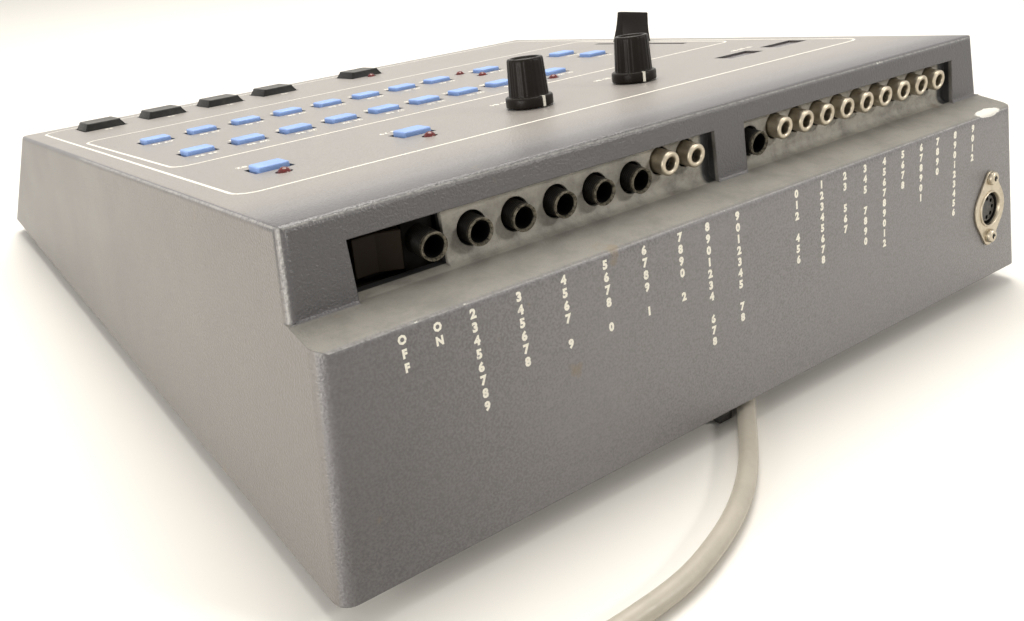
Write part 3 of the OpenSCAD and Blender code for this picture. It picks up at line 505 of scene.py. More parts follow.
def print_finish():
    """Cream ink with small gaps where the grain shows through."""
    case = settings("drum_case")
    ink = Finish("print_ink", case.print_colour, 0.55)
    gaps = ink.ramp(ink.noise(1.4 * MM, 5.0, 0.7), 0.56, 0.70, 0.0, 0.5)
    ink.colour(ink.blend(gaps, case.print_colour, shaded(case.paint, 1.6)))
    ink.bump(ink.noise(case.grain, 4.0), 0.05 * MM)
    return ink.material


def moulded_finish(name, colour, roughness, grain=0.5, edge=0.25, depth=0.012, dust=0.0, sheen=0.5, settled=0.0,
                   tips=0.0):
    """Moulded plastic with fine grain, soft edges, a little dust, more of it on top, and tips worn pale.

    Grain, edge and depth are in millimetres; tips is the Y where the tips end, in metres.
    """
    plastic = Finish(name, colour, roughness, Specular_IOR_Level=sheen)
    plastic.soften(edge * MM)
    ramp, blend = plastic.ramp, plastic.blend
    speck = plastic.noise(grain * MM, 4.0)
    tint = blend(ramp(plastic.noise(14 * MM, 4.0, 0.6), 0.3, 0.7), shaded(colour, 0.86), shaded(colour, 1.12))
    if dust:
        tint = blend(ramp(plastic.noise(5 * MM, 6.0, 0.7), 0.45, 0.8, 0.0, dust), tint, HAZE)
    if settled:
        tint = blend(ramp(plastic.facing()["Z"], 0.9, 0.98, 0.0, settled), tint, HAZE)
    if tips:
        worn = ramp(plastic.noise(1.1 * MM, 6.0, 0.7), 0.34, 0.6)
        outward = plastic.parts(plastic.where)["Y"]
        tint = blend(plastic.product(ramp(outward, tips - 1.6 * MM, tips - 0.5 * MM), worn), tint, WORN_TIP)
    plastic.colour(tint)
    plastic.rough(ramp(speck, 0.3, 0.7, roughness - 0.07, roughness + 0.1))
    plastic.bump(speck, depth * MM, 0.8)
    return plastic.material


def metal_finish(name, colour, roughness, tarnish=(0.25, 0.21, 0.15), share=0.35):
    """Plated metal with dull patches and fine scratches."""
    metal = Finish(name, colour, roughness, 1.0)
    metal.soften(0.2 * MM)
    patch = metal.ramp(metal.noise(3 * MM, 6.0, 0.65), 0.45, 0.75, 0.0, share)
    metal.colour(metal.blend(patch, colour, tarnish))
    scratch = metal.noise(1.2 * MM, 3.0, 0.5, (1.0, 1.0, 9.0))
    metal.rough(metal.ramp(scratch, 0.3, 0.7, roughness - 0.08, roughness + 0.14))
    metal.bump(scratch, 0.006 * MM, 0.6)
    return metal.material


def board_finish():
    """Green circuit board with paler tracks."""
    board = Finish("circuit_board", (0.03, 0.16, 0.07), 0.35)
    cells = board.add("ShaderNodeTexVoronoi", Vector=board.where, Scale=1 / (4 * MM))
    cells.feature = "DISTANCE_TO_EDGE"
    tracks = cells.outputs["Distance"]
    board.colour(board.blend(board.ramp(tracks, 0.03, 0.06), (0.09, 0.32, 0.14), (0.03, 0.16, 0.07)))
    board.bump(tracks, 0.03 * MM, 0.4)
    return board.material


def vinyl_finish():
    """Grey vinyl with handling marks."""
    cord = settings("drum_cord")
    vinyl = Finish("cord_vinyl", cord.vinyl, 0.42)
    grime = vinyl.ramp(vinyl.noise(16 * MM, 6.0, 0.65), 0.48, 0.72, 0.0, 0.35)
    vinyl.colour(vinyl.blend(grime, cord.vinyl, shaded(cord.vinyl, 0.62)))
    vinyl.rough(vinyl.ramp(vinyl.noise(2 * MM), 0.3, 0.7, 0.34, 0.52))
    vinyl.bump(vinyl.noise(2.5 * MM, 3.0), 0.03 * MM, 0.5)
    return vinyl.material


def lamp_finish():
    """Red lens of an unlit lamp."""
    red = settings("drum_controls").lamp_colour
    lens = Finish("lamp_red", red, 0.2, Subsurface_Weight=0.1)
    lens.colour(lens.blend(lens.ramp(lens.noise(1.5 * MM), 0.3, 0.7), red, shaded(red, 1.5)))
    return lens.material


def filter_finish():
    """Dark red window in front of the digits."""
    glass = Finish("display_filter", (0.02, 0.004, 0.005), 0.16)
    glass.rough(glass.ramp(glass.noise(6 * MM, 5.0), 0.3, 0.7, 0.12, 0.26))
    glass.bump(glass.noise(3 * MM), 0.004 * MM, 0.3)
    return glass.material


MADE = {}


def finish(name):
    """A material by its record slot's name, made when first asked for."""
    if name not in MADE:
        if name in OWN_FINISHES:
            MADE[name] = OWN_FINISHES[name]()
        else:
            make, table = (metal_finish, METALS) if name in METALS else (moulded_finish, MOULDINGS)
            colour, *rest = table[name]
            if isinstance(colour, str):
                group, setting = colour.split(".")
                colour = getattr(settings(group), setting)
            MADE[name] = make(name, colour, *rest)
    return MADE[name]


OWN_FINISHES = {
    "case_paint": paint_finish, "print_ink": print_finish, "cord_vinyl": vinyl_finish, "circuit_board": board_finish,
    "lamp_red": lamp_finish, "display_filter": filter_finish,
}
METALS = {    # colour or its setting, roughness, tarnish, share of tarnish
    "screw_steel": ((0.58, 0.57, 0.55), 0.32),
    "post_brass": ((0.72, 0.50, 0.20), 0.3, (0.30, 0.17, 0.06)),
    "pot_metal": ((0.5, 0.5, 0.49), 0.35),
    "phono_nickel": ("drum_sockets.nickel", 0.36, (0.25, 0.21, 0.15), 0.5),
    "sink_aluminium": ((0.72, 0.72, 0.72), 0.3, (0.5, 0.5, 0.49)),
}
MOULDINGS = {    # colour or its setting, roughness, grain, edge, depth, dust, sheen, settled dust, tips
    "plate_steel": ((0.12, 0.12, 0.125), 0.45, 0.8, 0.3, 0.02, 0.1),
    "foot_rubber": ((0.016, 0.016, 0.016), 0.75, 0.7, 0.4, 0.02, 0.3),
    "black_plastic": ("drum_sockets.black", 0.34, 0.7, 0.2, 0.02, 0.14),
    "jack_black": ("drum_sockets.black", 0.45, 0.7, 0.2, 0.02, 0.01, 0.1, 0.0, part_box("jacks")[1][1]),
    # near black, darker than the sockets' plastic: painted shade deep in the bores
    "socket_dark": ((0.0018, 0.0017, 0.0016), 0.7, 0.5, 0.25, 0.012, 0.0, 0.05),
    "housing_black": ((0.0022, 0.002, 0.0018), 0.6, 0.5, 0.25, 0.012, 0.0, 0.08),
    "rocker_brown": ((0.015, 0.0105, 0.007), 0.4, 0.5, 0.25, 0.012, 0.005, 0.08),
    "board_brown": ((0.006, 0.005, 0.003), 0.6, 0.5, 0.25, 0.012, 0.0, 0.08),
    "digit_grey": ((0.05, 0.05, 0.052), 0.4),
    "core_steel": ((0.05, 0.048, 0.045), 0.4),
    "capacitor_sleeve": ((0.01, 0.015, 0.08), 0.3),
    "chip_black": ((0.015, 0.015, 0.015), 0.5),
    "ribbon_grey": ((0.32, 0.32, 0.32), 0.5),
    "knob_plastic": ("drum_controls.knob_colour", 0.33, 0.9, 0.25, 0.003, 0.01, 0.14, 0.08),
    "key_blue": ("drum_controls.key_colour", 0.42, 0.7, 0.3, 0.010, 0.05),
    "pad_black": ("drum_controls.pad_colour", 0.42, 0.8, 0.4, 0.014, 0.05, 0.22, 0.2),
}
SLOT_OF = {part["node"]: part["material_slot"] for part in frame["record"]["subparts"]}


# ---------------------------------------------------------------- mesh tools


def lathe(profile, segments=48):
    """Vertices and faces of an (r, z) profile turned about Z; a point with r = 0 becomes a pole."""
    vertices, rings, faces = [], [], []
    for r, z in profile:
        if r < 1e-9:
            rings.append([len(vertices)] * segments)
            vertices.append((0, 0, z))
            continue
        rings.append(range(len(vertices), len(vertices) + segments))
        vertices += circle(r, z, segments)
    for low, high in zip(rings, rings[1:]):
        for k in range(segments):
            n = (k + 1) % segments
            faces.append(tuple(dict.fromkeys((low[k], low[n], high[n], high[k]))))
    return vertices, faces


def loft(rings):
    """Vertices and faces through rings of points, closed at both ends."""
    count = len(rings[0])
    vertices = [point for ring in rings for point in ring]
    faces = [tuple(range(count - 1, -1, -1))]
    for i in range(len(rings) - 1):
        for k in range(count):
            n = (k + 1) % count
            faces.append((i * count + k, i * count + n, (i + 1) * count + n, (i + 1) * count + k))
    faces.append(tuple((len(rings) - 1) * count + k for k in range(count)))
    return vertices, faces


def rounded(width, depth, radius, z, steps=4):
    """Points of a rounded rectangle round the origin at height z."""
    radius = max(min(radius, width / 2 - 1e-5, depth / 2 - 1e-5), 1e-5)
    points = []
    for corner, (sx, sy) in enumerate(((1, 1), (-1, 1), (-1, -1), (1, -1))):
        cx, cy = sx * (width / 2 - radius), sy * (depth / 2 - radius)
        for k in range(steps + 1):
            angle = math.pi / 2 * (corner + k / steps)
            points.append((cx + radius * math.cos(angle), cy + radius * math.sin(angle), z))
    return points


def joined(*parts):
    """Vertices and faces of several forms as one."""
    vertices, faces = [], []
    for part_vertices, part_faces in parts:
        base = len(vertices)
        vertices += part_vertices
        faces += [tuple(base + i for i in face) for face in part_faces]
    return vertices, faces


def moved(part, matrix):
    """Vertices and faces set in another place."""
    vertices, faces = part
    return [tuple(matrix @ Vector(v)) for v in vertices], faces


def block(low, high):
    """A box between two corners."""
    (x0, y0, z0), (x1, y1, z1) = low, high
    return loft([[(x0, y0, z), (x1, y0, z), (x1, y1, z), (x0, y1, z)] for z in (z0, z1)])


def shape(name, part, crease=35):
    """A mesh with outward faces, smooth up to the crease angle."""
    mesh = bpy.data.meshes.new(name)
    mesh.from_pydata(part[0], [], part[1])
    tidy_mesh(mesh, crease)
    return mesh


def form(name, part, slot, body=CASE, replaces=(), crease=35):
    """A piece made of vertices and faces."""
    return piece(name, shape(name, part, crease), slot, body, replaces)


def stepped(r, z, *steps):
    """Profile points at steps in millimetres from (r, z)."""
    return [(r + out * MM, z + up * MM) for out, up in steps]


def tidy_mesh(mesh, crease):
    """Welds a mesh, turns its faces outward and smooths edges up to the crease angle."""
    bm = bmesh.new()
    bm.from_mesh(mesh)
    bmesh.ops.remove_doubles(bm, verts=bm.verts, dist=1e-7)
    bmesh.ops.recalc_face_normals(bm, faces=bm.faces)
    for face in bm.faces:
        face.smooth = True
    for edge in bm.edges:
        edge.smooth = edge.is_manifold and edge.calc_face_angle(0.0) < math.radians(crease)
    bm.to_mesh(mesh)
    bm.free()


def added(name, data):
    """A new object in the scene."""
    thing = bpy.data.objects.new(name, data)
    bpy.context.scene.collection.objects.link(thing)
    return thing


def piece(name, mesh, slot, body=CASE, replaces=()):
    """An object on a body, with its finish, standing for CAD nodes."""
    thing = added(name, mesh)
    if not mesh.materials:
        mesh.materials.append(finish(slot))
    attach(thing, body)
    if replaces:
        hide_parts(*replaces)
    return thing


def refined(thing, *steps):
    """The thing with its mesh after modifiers given as (type, settings)."""
    for kind, values in steps:
        modifier = thing.modifiers.new(kind.title(), kind)
        for key, value in values.items():
            setattr(modifier, key, value)
    settled(thing)
    return thing


def evaluated(thing):
    """A plain mesh of a thing's evaluated form."""
    bpy.context.view_layer.update()
    graph = bpy.context.evaluated_depsgraph_get()
    return bpy.data.meshes.new_from_object(thing.evaluated_get(graph), depsgraph=graph)


def settled(thing):
    """Turns a thing's evaluated form into its own plain mesh."""
    mesh = evaluated(thing)
    thing.modifiers.clear()
    thing.data = mesh


# ---------------------------------------------------------------- geometry node trees


class Tree(Wiring):
    """A geometry node tree with named inputs, ending in Realize Instances and Set Material."""

    def __init__(self, name, **inputs):
        super().__init__(bpy.data.node_groups.new(name, "GeometryNodeTree"))
        face = self.tree.interface
        for label, kind in {"Geometry": "Geometry", **inputs, "Material": "Material"}.items():
            face.new_socket(label, in_out="INPUT", socket_type=f"NodeSocket{kind}")
        face.new_socket("Geometry", in_out="OUTPUT", socket_type="NodeSocketGeometry")
        self.given = self.tree.nodes.new("NodeGroupInput").outputs

    def close(self, geometry):
        """Ends the tree."""
        real = self.add("GeometryNodeRealizeInstances", Geometry=geometry)
        coat = self.add("GeometryNodeSetMaterial", Geometry=real.outputs[0], Material=self.given["Material"])
        self.add("NodeGroupOutput", _0=coat.outputs[0])
        return self.tree


def grow(thing, group, slot, values):
    """Runs a tree on a thing with named input values and keeps the plain result."""
    modifier = thing.modifiers.new(group.name, "NODES")
    modifier.node_group = group
    values = dict(values, Material=finish(slot))
    for item in group.interface.items_tree:
        if item.in_out == "INPUT" and item.name in values:
            modifier[item.identifier] = values[item.name]
    settled(thing)


def row_tree():
    """One part set on every point, turned as the points' own turn attribute says."""
    tree = Tree("part_on_points", Part="Object")
    part = tree.add("GeometryNodeObjectInfo", Object=tree.given["Part"]).outputs["Geometry"]
    turn = tree.add("GeometryNodeInputNamedAttribute", Name="turn")
    turn.data_type = "QUATERNION"
    points = tree.add("GeometryNodeMeshToPoints", Mesh=tree.given["Geometry"])
    copies = tree.add("GeometryNodeInstanceOnPoints", Points=points.outputs[0], Instance=part,
                      Rotation=turn.outputs["Attribute"])
    return tree.close(copies.outputs[0])


def flute_tree():
    """Hollows pressed evenly round a turned body, between two heights."""
    tree = Tree("flutes", Count="Int", Depth="Float", Low="Float", High="Float")
    maths, product, given = tree.maths, tree.product, tree.given
    place = tree.parts(tree.add("GeometryNodeInputPosition").outputs[0])
    x, y, z = place["X"], place["Y"], place["Z"]
    wave = maths("COSINE", product(maths("ARCTAN2", y, x), given["Count"]))
    hollow = maths("POWER", maths("MAXIMUM", wave, 0.0), 0.6)
    between = product(maths("GREATER_THAN", z, given["Low"]), maths("LESS_THAN", z, given["High"]))
    radius = maths("SQRT", maths("ADD", product(x, x), product(y, y)))
    pressed = product(hollow, given["Depth"], between)
    share = maths("SUBTRACT", 1.0, maths("DIVIDE", pressed, maths("MAXIMUM", radius, 1e-4)))
    there = tree.add("ShaderNodeCombineXYZ", X=product(x, share), Y=product(y, share), Z=z)
    shaped = tree.add("GeometryNodeSetPosition", Geometry=given["Geometry"], Position=there.outputs[0])
    return tree.close(shaped.outputs[0])


def set_on_points(name, part, places, slot, replaces=(), crease=30):
    """One part's mesh on many places of the case, each a matrix, as one plain piece."""
    pattern = bpy.data.objects.new(name + "_pattern", shape(name + "_pattern", part, crease))
    points = bpy.data.meshes.new(name)
    points.from_pydata([place.translation for place in places], [], [])
    turns = points.attributes.new("turn", "QUATERNION", "POINT")
    for item, place in zip(turns.data, places):
        item.value = place.to_quaternion()
    thing = added(name, points)
    grow(thing, row_tree(), slot, {"Part": pattern})
    mesh = thing.data
    for made in (pattern, thing):
        bpy.data.objects.remove(made)
    tidy_mesh(mesh, crease)
    return piece(name, mesh, slot, CASE, replaces)


# ---------------------------------------------------------------- pieces that keep the CAD's own form


def cad_form(node, crease):
    """A CAD node's form as a welded mesh with whole flat faces."""
    bm = bmesh.new()
    bm.from_mesh(frame["nodes"][node].data)
    bmesh.ops.remove_doubles(bm, verts=bm.verts, dist=2e-6)
    bmesh.ops.dissolve_limit(bm, angle_limit=math.radians(0.4), verts=bm.verts, edges=bm.edges)
    mesh = bpy.data.meshes.new(node + "_form")
    bm.to_mesh(mesh)
    bm.free()
    tidy_mesh(mesh, crease)
    return mesh


def dressed(node, edge=0.0, body=CASE, slot="", crease=30):
    """A piece with a CAD node's form, its sharp edges rounded to a radius."""
    thing = piece(node + "_dressed", cad_form(node, crease), slot or SLOT_OF[node], body, [node])
    even = ("WEIGHTED_NORMAL", {"keep_sharp": True, "weight": 90})
    if edge:
        bevel = {"width": edge, "segments": 2, "limit_method": "ANGLE", "angle_limit": math.radians(40)}
        return refined(thing, ("BEVEL", bevel), even)
    return refined(thing, even)


# ---------------------------------------------------------------- print


def line_loop(points, width, height):
    """A raised line of even width along a closed path in one plane."""
    count = len(points)
    vertices, faces = [], []
    for i, point in enumerate(points):
        along = (Vector(points[(i + 1) % count]) - Vector(points[i - 1])).normalized()
        across = Vector((-along.y, along.x)) * width / 2
        for side, z in ((1, 0), (1, height), (-1, height), (-1, 0)):
            vertices.append((point[0] + side * across.x, point[1] + side * across.y, z))
        a, b = 4 * i, 4 * ((i + 1) % count)
        faces += [(a + k, b + k, b + k + 1, a + k + 1) for k in range(3)]
    return vertices, faces


def corner_path(corners, radius, steps=6):
    """Corners of a closed outline in the plane, each rounded to a radius."""
    points = []
    count = len(corners)
    for i, corner in enumerate(corners):
        here = Vector(corner)
        a = (Vector(corners[i - 1]) - here).normalized()
        b = (Vector(corners[(i + 1) % count]) - here).normalized()
        half = a.angle(b) / 2
        middle = here + (a + b).normalized() * radius / math.sin(half)
        first = here + a * radius / math.tan(half) - middle
        last = here + b * radius / math.tan(half) - middle
        for k in range(steps + 1):
            spread = first.slerp(last, k / steps).normalized() * first.length
            points.append(tuple(middle + spread))
    return points


def lettering(text, height, bold=0.035):
    """A word's flat form, centred, with capitals of that height; bold is a share of it."""
    curve = bpy.data.curves.new("word", "FONT")
    curve.body = text
    curve.size = height / 0.7
    curve.align_x = "CENTER"
    curve.align_y = "CENTER"
    curve.resolution_u = 2
    curve.offset = bold * height
    curve.space_character = 1 + bold
    curve.extrude = settings("drum_case").ink / 2
    word = added("word", curve)
    mesh = evaluated(word)
    part = ([tuple(v.co) for v in mesh.vertices], [tuple(p.vertices) for p in mesh.polygons])
    for made in (word, curve, mesh):
        bpy.data.batch_remove([made])
    return part


# ---------------------------------------------------------------- keys, pads, knobs


def cap_piece(node, slot, corner, dish, slope, drop, edge, pocket_w, pocket_top):
    """A key or pad sized from its CAD node: switch pocket, sides, a straight or sloped rise, rounded rim and dish."""
    low, high = local_box(node, PANEL)
    (width, depth, _), centre = high - low, (low + high) / 2
    rings = [rounded(pocket_w, pocket_w, 0.1 * MM, z) for z in (pocket_top, low.z)]
    rings += [rounded(width, depth, corner, z) for z in (low.z, high.z - drop)]
    w, d = width - 2 * slope, depth - 2 * slope
    for k in range(5):
        angle = math.pi / 2 * k / 4
        back, down = edge * (1 - math.cos(angle)), edge * (1 - math.sin(angle))
        rings.append(rounded(w - 2 * back, d - 2 * back, max(corner - back, corner / 3), high.z - down))
    for share in (0.9, 0.7, 0.45, 0.2):
        rings.append(rounded((w - 2 * edge) * share, (d - 2 * edge) * share, corner / 3,
                             high.z - dish * (1 - share * share)))
    place = PANEL @ Matrix.Translation((centre.x, centre.y, 0))
    form(node + "_cap", moved(loft(rings), place), slot, node, [node], 50)


def nodes_of(slot):
    """The CAD nodes with that finish."""
    return [node for node, own in SLOT_OF.items() if own == slot]


def knob_piece(node, pointer):
    """A fluted knob with a skirt, a dished top and a white pointer."""
    controls = settings("drum_controls")
    low, high = local_box(node, PANEL)
    foot, top, skirt_r = low.z, high.z, (high.x - low.x) / 2
    place = under(PANEL, JOINTS[node + "_turn"]["pos_m"]) @ Matrix.Rotation(pointer, 4, "Z")
    skirt_top, gap = 4.1 * MM, 0.4 * MM
    body_r, top_r = skirt_r * 0.84, skirt_r * 0.755
    profile = [(0, foot), (2.8 * MM, foot), (3 * MM, foot + 0.2 * MM), (3 * MM, gap)]
    profile += stepped(skirt_r, gap, (-0.5, 0), (-0.1, 0.15), (0, 0.5))
    profile += stepped(skirt_r, skirt_top, (0, -0.7), (-0.15, -0.25), (-0.5, 0))
    profile += stepped(body_r, skirt_top, (0.05, 0.02))
    profile += [(body_r + (top_r - body_r) * share, skirt_top + (top - skirt_top) * share)
                for share in (0.02, 0.05, 0.15, 0.35, 0.6, 0.85, 0.93)]
    profile += stepped(top_r, top, (-0.05, -0.45), (-0.3, -0.12), (-0.7, 0), (-1.2, 0), (-1.5, -0.2), (-1.75, -0.8),
                       (-2.2, -1))
    profile += [(top_r * 0.3, top - 0.75 * MM), (0, top - 0.7 * MM)]
    body = form(node + "_body", lathe(profile, 6 * controls.flutes), "knob_plastic", node, [node], 40)
    grow(body, flute_tree(), "knob_plastic",
         {"Count": controls.flutes, "Depth": controls.flute_depth, "Low": skirt_top + 0.2 * MM,
          "High": top - 0.3 * MM})
    body.data.transform(place)
    mark = block((-0.55 * MM, skirt_r - 1.1 * MM, gap + 0.1 * MM),
                 (0.55 * MM, skirt_r + 0.12 * MM, skirt_top + 0.06 * MM))
    form(node + "_pointer", moved(mark, place), "print_ink", node)


# ---------------------------------------------------------------- sockets


def socket_places(kind, count, tip_y):
    """Places of numbered sockets at their noses' tips, on the record's mounts and pointing to the rear."""
    points = (MOUNTS[f"{kind}_{i}"]["pos_m"] for i in range(1, count + 1))
    return [placed((-1, 0, 0), (0, 0, 1), (0, 1, 0), (x, tip_y, z)) for x, _, z in points]


def circle(radius, z, count=48):
    """Points of a circle round the Z axis."""
    return [(radius * math.cos(math.tau * k / count), radius * math.sin(math.tau * k / count), z)
            for k in range(count)]


def square(width, height, z, lift, count=48):
    """Points of a nearly square rectangle, as many as a circle has."""
    return [(x, y + lift, z) for x, y, z in rounded(width, height, 0.4 * MM, z, count // 4 - 1)]


# ---------------------------------------------------------------- cord

# the cord's way in millimetres: from the case to the coil, and from the coil to the plug
ROUTE = [(-9, 147.8, 15.6), (-9, 151, 15.6), (-9, 156, 14.8), (-8.7, 161.4, 13.2), (-8, 167, 10.9),
         (-6.8, 172.4, 8.4), (-4.8, 177.6, 6.2), (-2, 182.4, 4.6), (1.8, 186.8, 3.6), (6.4, 191.2, 3.2),
         (11.6, 196, 3.1), (22.8, 206.4, 3.1), (34.8, 216.2, 3.1), (48.4, 224.6, 3.1), (64, 231.2, 3.1),
         (82, 236, 3.1), (103, 237.4, 3.1), (126, 237, 3.1), (150, 237, 3.1)]
TAIL = [(150, 325.9, 8.5), (141, 325.9, 8.3), (132, 325.7, 7.5), (123, 325.4, 6.8), (114, 325.1, 6.8),
        (105, 325, 7.8), (97, 325, 9.6), (90, 325, 10.8)]
COIL = (150, 283)    # the coil's centre in millimetres
LOWER_TURNS = 4
UPPER_TURNS = 2.5
COIL_STEP = 6        # degrees between the coil's points
SHIFT_FROM = 240     # degrees of a turn after which the cord moves over to the next one
LIFT_TURN = 120      # degrees the cord climbs round its neighbour on its way to the upper layer


def smooth_line(points, step):
    """Points close together on a smooth line through the given ones."""
    ends = [2 * points[0] - points[1], *points, 2 * points[-1] - points[-2]]
    line = []
    for a, b, c, d in zip(ends, ends[1:], ends[2:], ends[3:]):
        count = max(1, round((c - b).length / step))
        for k in range(count):
            t = k / count
            line.append(0.5 * (2 * b + (c - a) * t + (2 * a - 5 * b + 4 * c - d) * t * t
                               + (3 * b - a - 3 * c + d) * t * t * t))
    return line + [points[-1]]


def coil_line(outer, d):
    """A flat coil from outside in, then back out on top of itself."""
    line = []
    for degrees in range(0, int(360 * (LOWER_TURNS + UPPER_TURNS)) + 1, COIL_STEP):
        turn, angle = divmod(degrees, 360)
        u = max(0.0, (angle - SHIFT_FROM) / (360 - SHIFT_FROM))
        lower = [outer - d * (k + u) for k in range(LOWER_TURNS)]
        z = d / 2
        if turn < LOWER_TURNS - 1:
            r = lower[turn]
        elif turn == LOWER_TURNS - 1:
            over = math.pi - math.radians(LIFT_TURN) * u
            r = lower[-2] + d * math.cos(over)
            z += d * math.sin(over)
        else:
            r = outer - d * (LOWER_TURNS - 1.5) + d * (turn - LOWER_TURNS + u)
            apart = min(abs(r - other) for other in lower)
            z += math.sqrt(max(0.0, d * d - apart * apart))
        a = math.radians(degrees - 90)
        line.append(Vector((COIL[0] * MM + r * math.cos(a), COIL[1] * MM + r * math.sin(a), z)))
    return line


def cord_line(outer, d):
    """The cord's whole centreline."""
    route = smooth_line([Vector(p) * MM for p in ROUTE], 3 * MM)
    tail = smooth_line([Vector(p) * MM for p in TAIL], 3 * MM)
    return route[:-1] + coil_line(outer, d) + tail[1:]


# ---------------------------------------------------------------- operators


class DRUM_OT_case(bpy.types.Operator):
    """Case shell, base plate and feet with their finishes"""
    bl_idname = "drum.case"
    bl_label = "Case"

    def execute(self, context):
        dressed("top_shell")
        dressed("base_plate", 0.3 * MM)
        dressed("feet", 0.5 * MM)
        return {"FINISHED"}


class DRUM_OT_print(bpy.types.Operator):
    """Printed borders, numbers and plain signs on the panel"""
    bl_idname = "drum.print"
    bl_label = "Print"

    def execute(self, context):
        case = settings("drum_case")
        parts = []
        for rear_x, rear_t, front_x, front_t, radius in BORDERS:
            corners = (rear_x, rear_t), (-rear_x, rear_t), (-front_x, front_t), (front_x, front_t)
            path = corner_path([(x * MM, -t * MM) for x, t in corners], radius * MM)
            parts.append(line_loop(path, case.line, case.ink))
        number = 1
        for node, shift, count in PRINT:
            low, high = local_box(node, PANEL)
            text = " ".join(f"{number + k:02d}" for k in range(count))
            number += count
            place = Matrix.Translation(((low.x + high.x) / 2, (low.y + high.y) / 2 + shift * MM, case.ink / 2))
            parts.append(moved(lettering(text, PRINT_HEIGHT * MM), place))
        form("panel_print", moved(joined(*parts), PANEL), "print_ink", crease=20)
        form("rear_print", moved(joined(*self.columns(case.ink)), REAR), "print_ink", crease=20)
        return {"FINISHED"}

    def columns(self, ink):
        """Stacked signs under the sockets: OFF and ON at the switch, plain digits that count up elsewhere."""
        parts = []
        for i, (x, signs) in enumerate(REAR_COLUMNS):
            for row, sign in enumerate(signs):
                if sign == " ":
                    continue
                place = Matrix.Translation((-x * MM, -(COLUMN_TOP + COLUMN_PITCH * row) * MM, ink / 2))
                if sign == "#":
                    sign = str((i + row) % 10)
                else:
                    place = place @ WORD_SHAPE
                parts.append(moved(lettering(sign, LETTER * MM, LETTER_BOLD), place))
        return parts


class DRUM_OT_keys(bpy.types.Operator):
    """Light keys, each on its own body"""
    bl_idname = "drum.keys"
    bl_label = "Keys"

    def execute(self, context):
        controls = settings("drum_controls")
        for node in nodes_of("key_blue"):
            cap_piece(node, "key_blue", controls.key_round, controls.key_dish, slope=0, drop=0.6 * MM,
                      edge=0.55 * MM, pocket_w=4 * MM, pocket_top=-4.5 * MM)
        return {"FINISHED"}


class DRUM_OT_pads(bpy.types.Operator):
    """Black pads, each on its own body"""
    bl_idname = "drum.pads"
    bl_label = "Pads"

    def execute(self, context):
        for node in nodes_of("pad_black"):
            cap_piece(node, "pad_black", 1.2 * MM, 0.25 * MM, slope=1.3 * MM, drop=2.9 * MM,
                      edge=0.8 * MM, pocket_w=5.5 * MM, pocket_top=-4 * MM)
        return {"FINISHED"}


class DRUM_OT_knobs(bpy.types.Operator):
    """Two fluted knobs with white pointers"""
    bl_idname = "drum.knobs"
    bl_label = "Knobs"

    def execute(self, context):
        for node, degrees in POINTERS.items():
            knob_piece(node, math.radians(degrees))
        return {"FINISHED"}


class DRUM_OT_slider(bpy.types.Operator):
    """Tall slider cap with scooped faces on its blade"""
    bl_idname = "drum.slider"
    bl_label = "Slider"

    def execute(self, context):
        low, high = local_box("slider", PANEL)
        centre = (low + high) / 2
        foot, top = 1 * MM, high.z
        width, taper = high.x - low.x, 1.6 * MM
        rings = []
        for k in range(11):
            share = k / 10
            depth = (8 - 4 * share - 1.1 * math.sin(math.pi * share)) * MM
            rings.append(rounded(width - taper * share, depth, 0.7 * MM, foot + (top - 0.6 * MM - foot) * share))
        for inset, z in ((0.08, 0.35), (0.25, 0.12), (0.6, 0.0)):
            rings.append(rounded(width - taper - 2 * inset * MM, 4 * MM - 2 * inset * MM, 0.5 * MM, top - z * MM))
        blade = block((-0.7 * MM, -2 * MM, low.z), (0.7 * MM, 2 * MM, foot + 0.1 * MM))
        crooked = Matrix.Rotation(math.radians(SLIDER_LEAN), 4, "Y")
        part = moved(joined(moved(loft(rings), crooked), blade), PANEL @ Matrix.Translation((centre.x, centre.y, 0)))
        form("slider_cap", part, "knob_plastic", "slider", ["slider"], 45)
        return {"FINISHED"}


class DRUM_OT_jacks(bpy.types.Operator):
    """Seven quarter-inch jacks with threaded noses"""
    bl_idname = "drum.jacks"
    bl_label = "Jacks"

    def execute(self, context):
        sockets = settings("drum_sockets")
        pitch = sockets.thread_pitch
        low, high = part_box("jacks")
        tip = high[1]
        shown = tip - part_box("phono_shells")[0][1]
        nose, bore = 4 * MM, MOUNTS["jack_1"]["dims"]["r_mm"] * MM
        body = JACK_BODY * MM, high[2] - low[2]
        lift = (high[2] + low[2]) / 2 - MOUNTS["jack_1"]["pos_m"][2]
        lip = stepped(nose, 0, (-0.42, -0.1), (-0.36, 0), (-0.14, 0), (-0.03, -0.12), (-0.03, -0.75), (-0.35, -0.85),
                      (-0.35, -1.15))
        rings = [circle(*point) for point in stepped(bore, 0, (0, -30), (0, -0.75)) + lip]
        z = -1.2 * MM
        while z > -shown + pitch:
            rings += [circle(nose, z), circle(nose, z - 0.25 * pitch),
                      circle(nose - sockets.thread_depth, z - 0.6 * pitch)]
            z -= pitch
        rings += [circle(nose, -shown), square(*body, -shown, lift), square(*body, -shown - 24 * MM, lift)]
        places = socket_places("jack", 7, tip)
        set_on_points("jack_bodies", loft(rings), places, "jack_black", ["jacks"])
        # a liner in each bore in the near-black finish: the insulator, and painted shade of the deep bore
        inside = bore - 0.12 * MM
        liner = stepped(inside, 0, (0, -28), (0, -0.8), (-0.15, -0.65), (-0.3, -0.8), (-0.3, -27.5))
        set_on_points("jack_liners", lathe([(0, -28 * MM), *liner, (0, -27.5 * MM)], 40), places, "socket_dark")
        return {"FINISHED"}


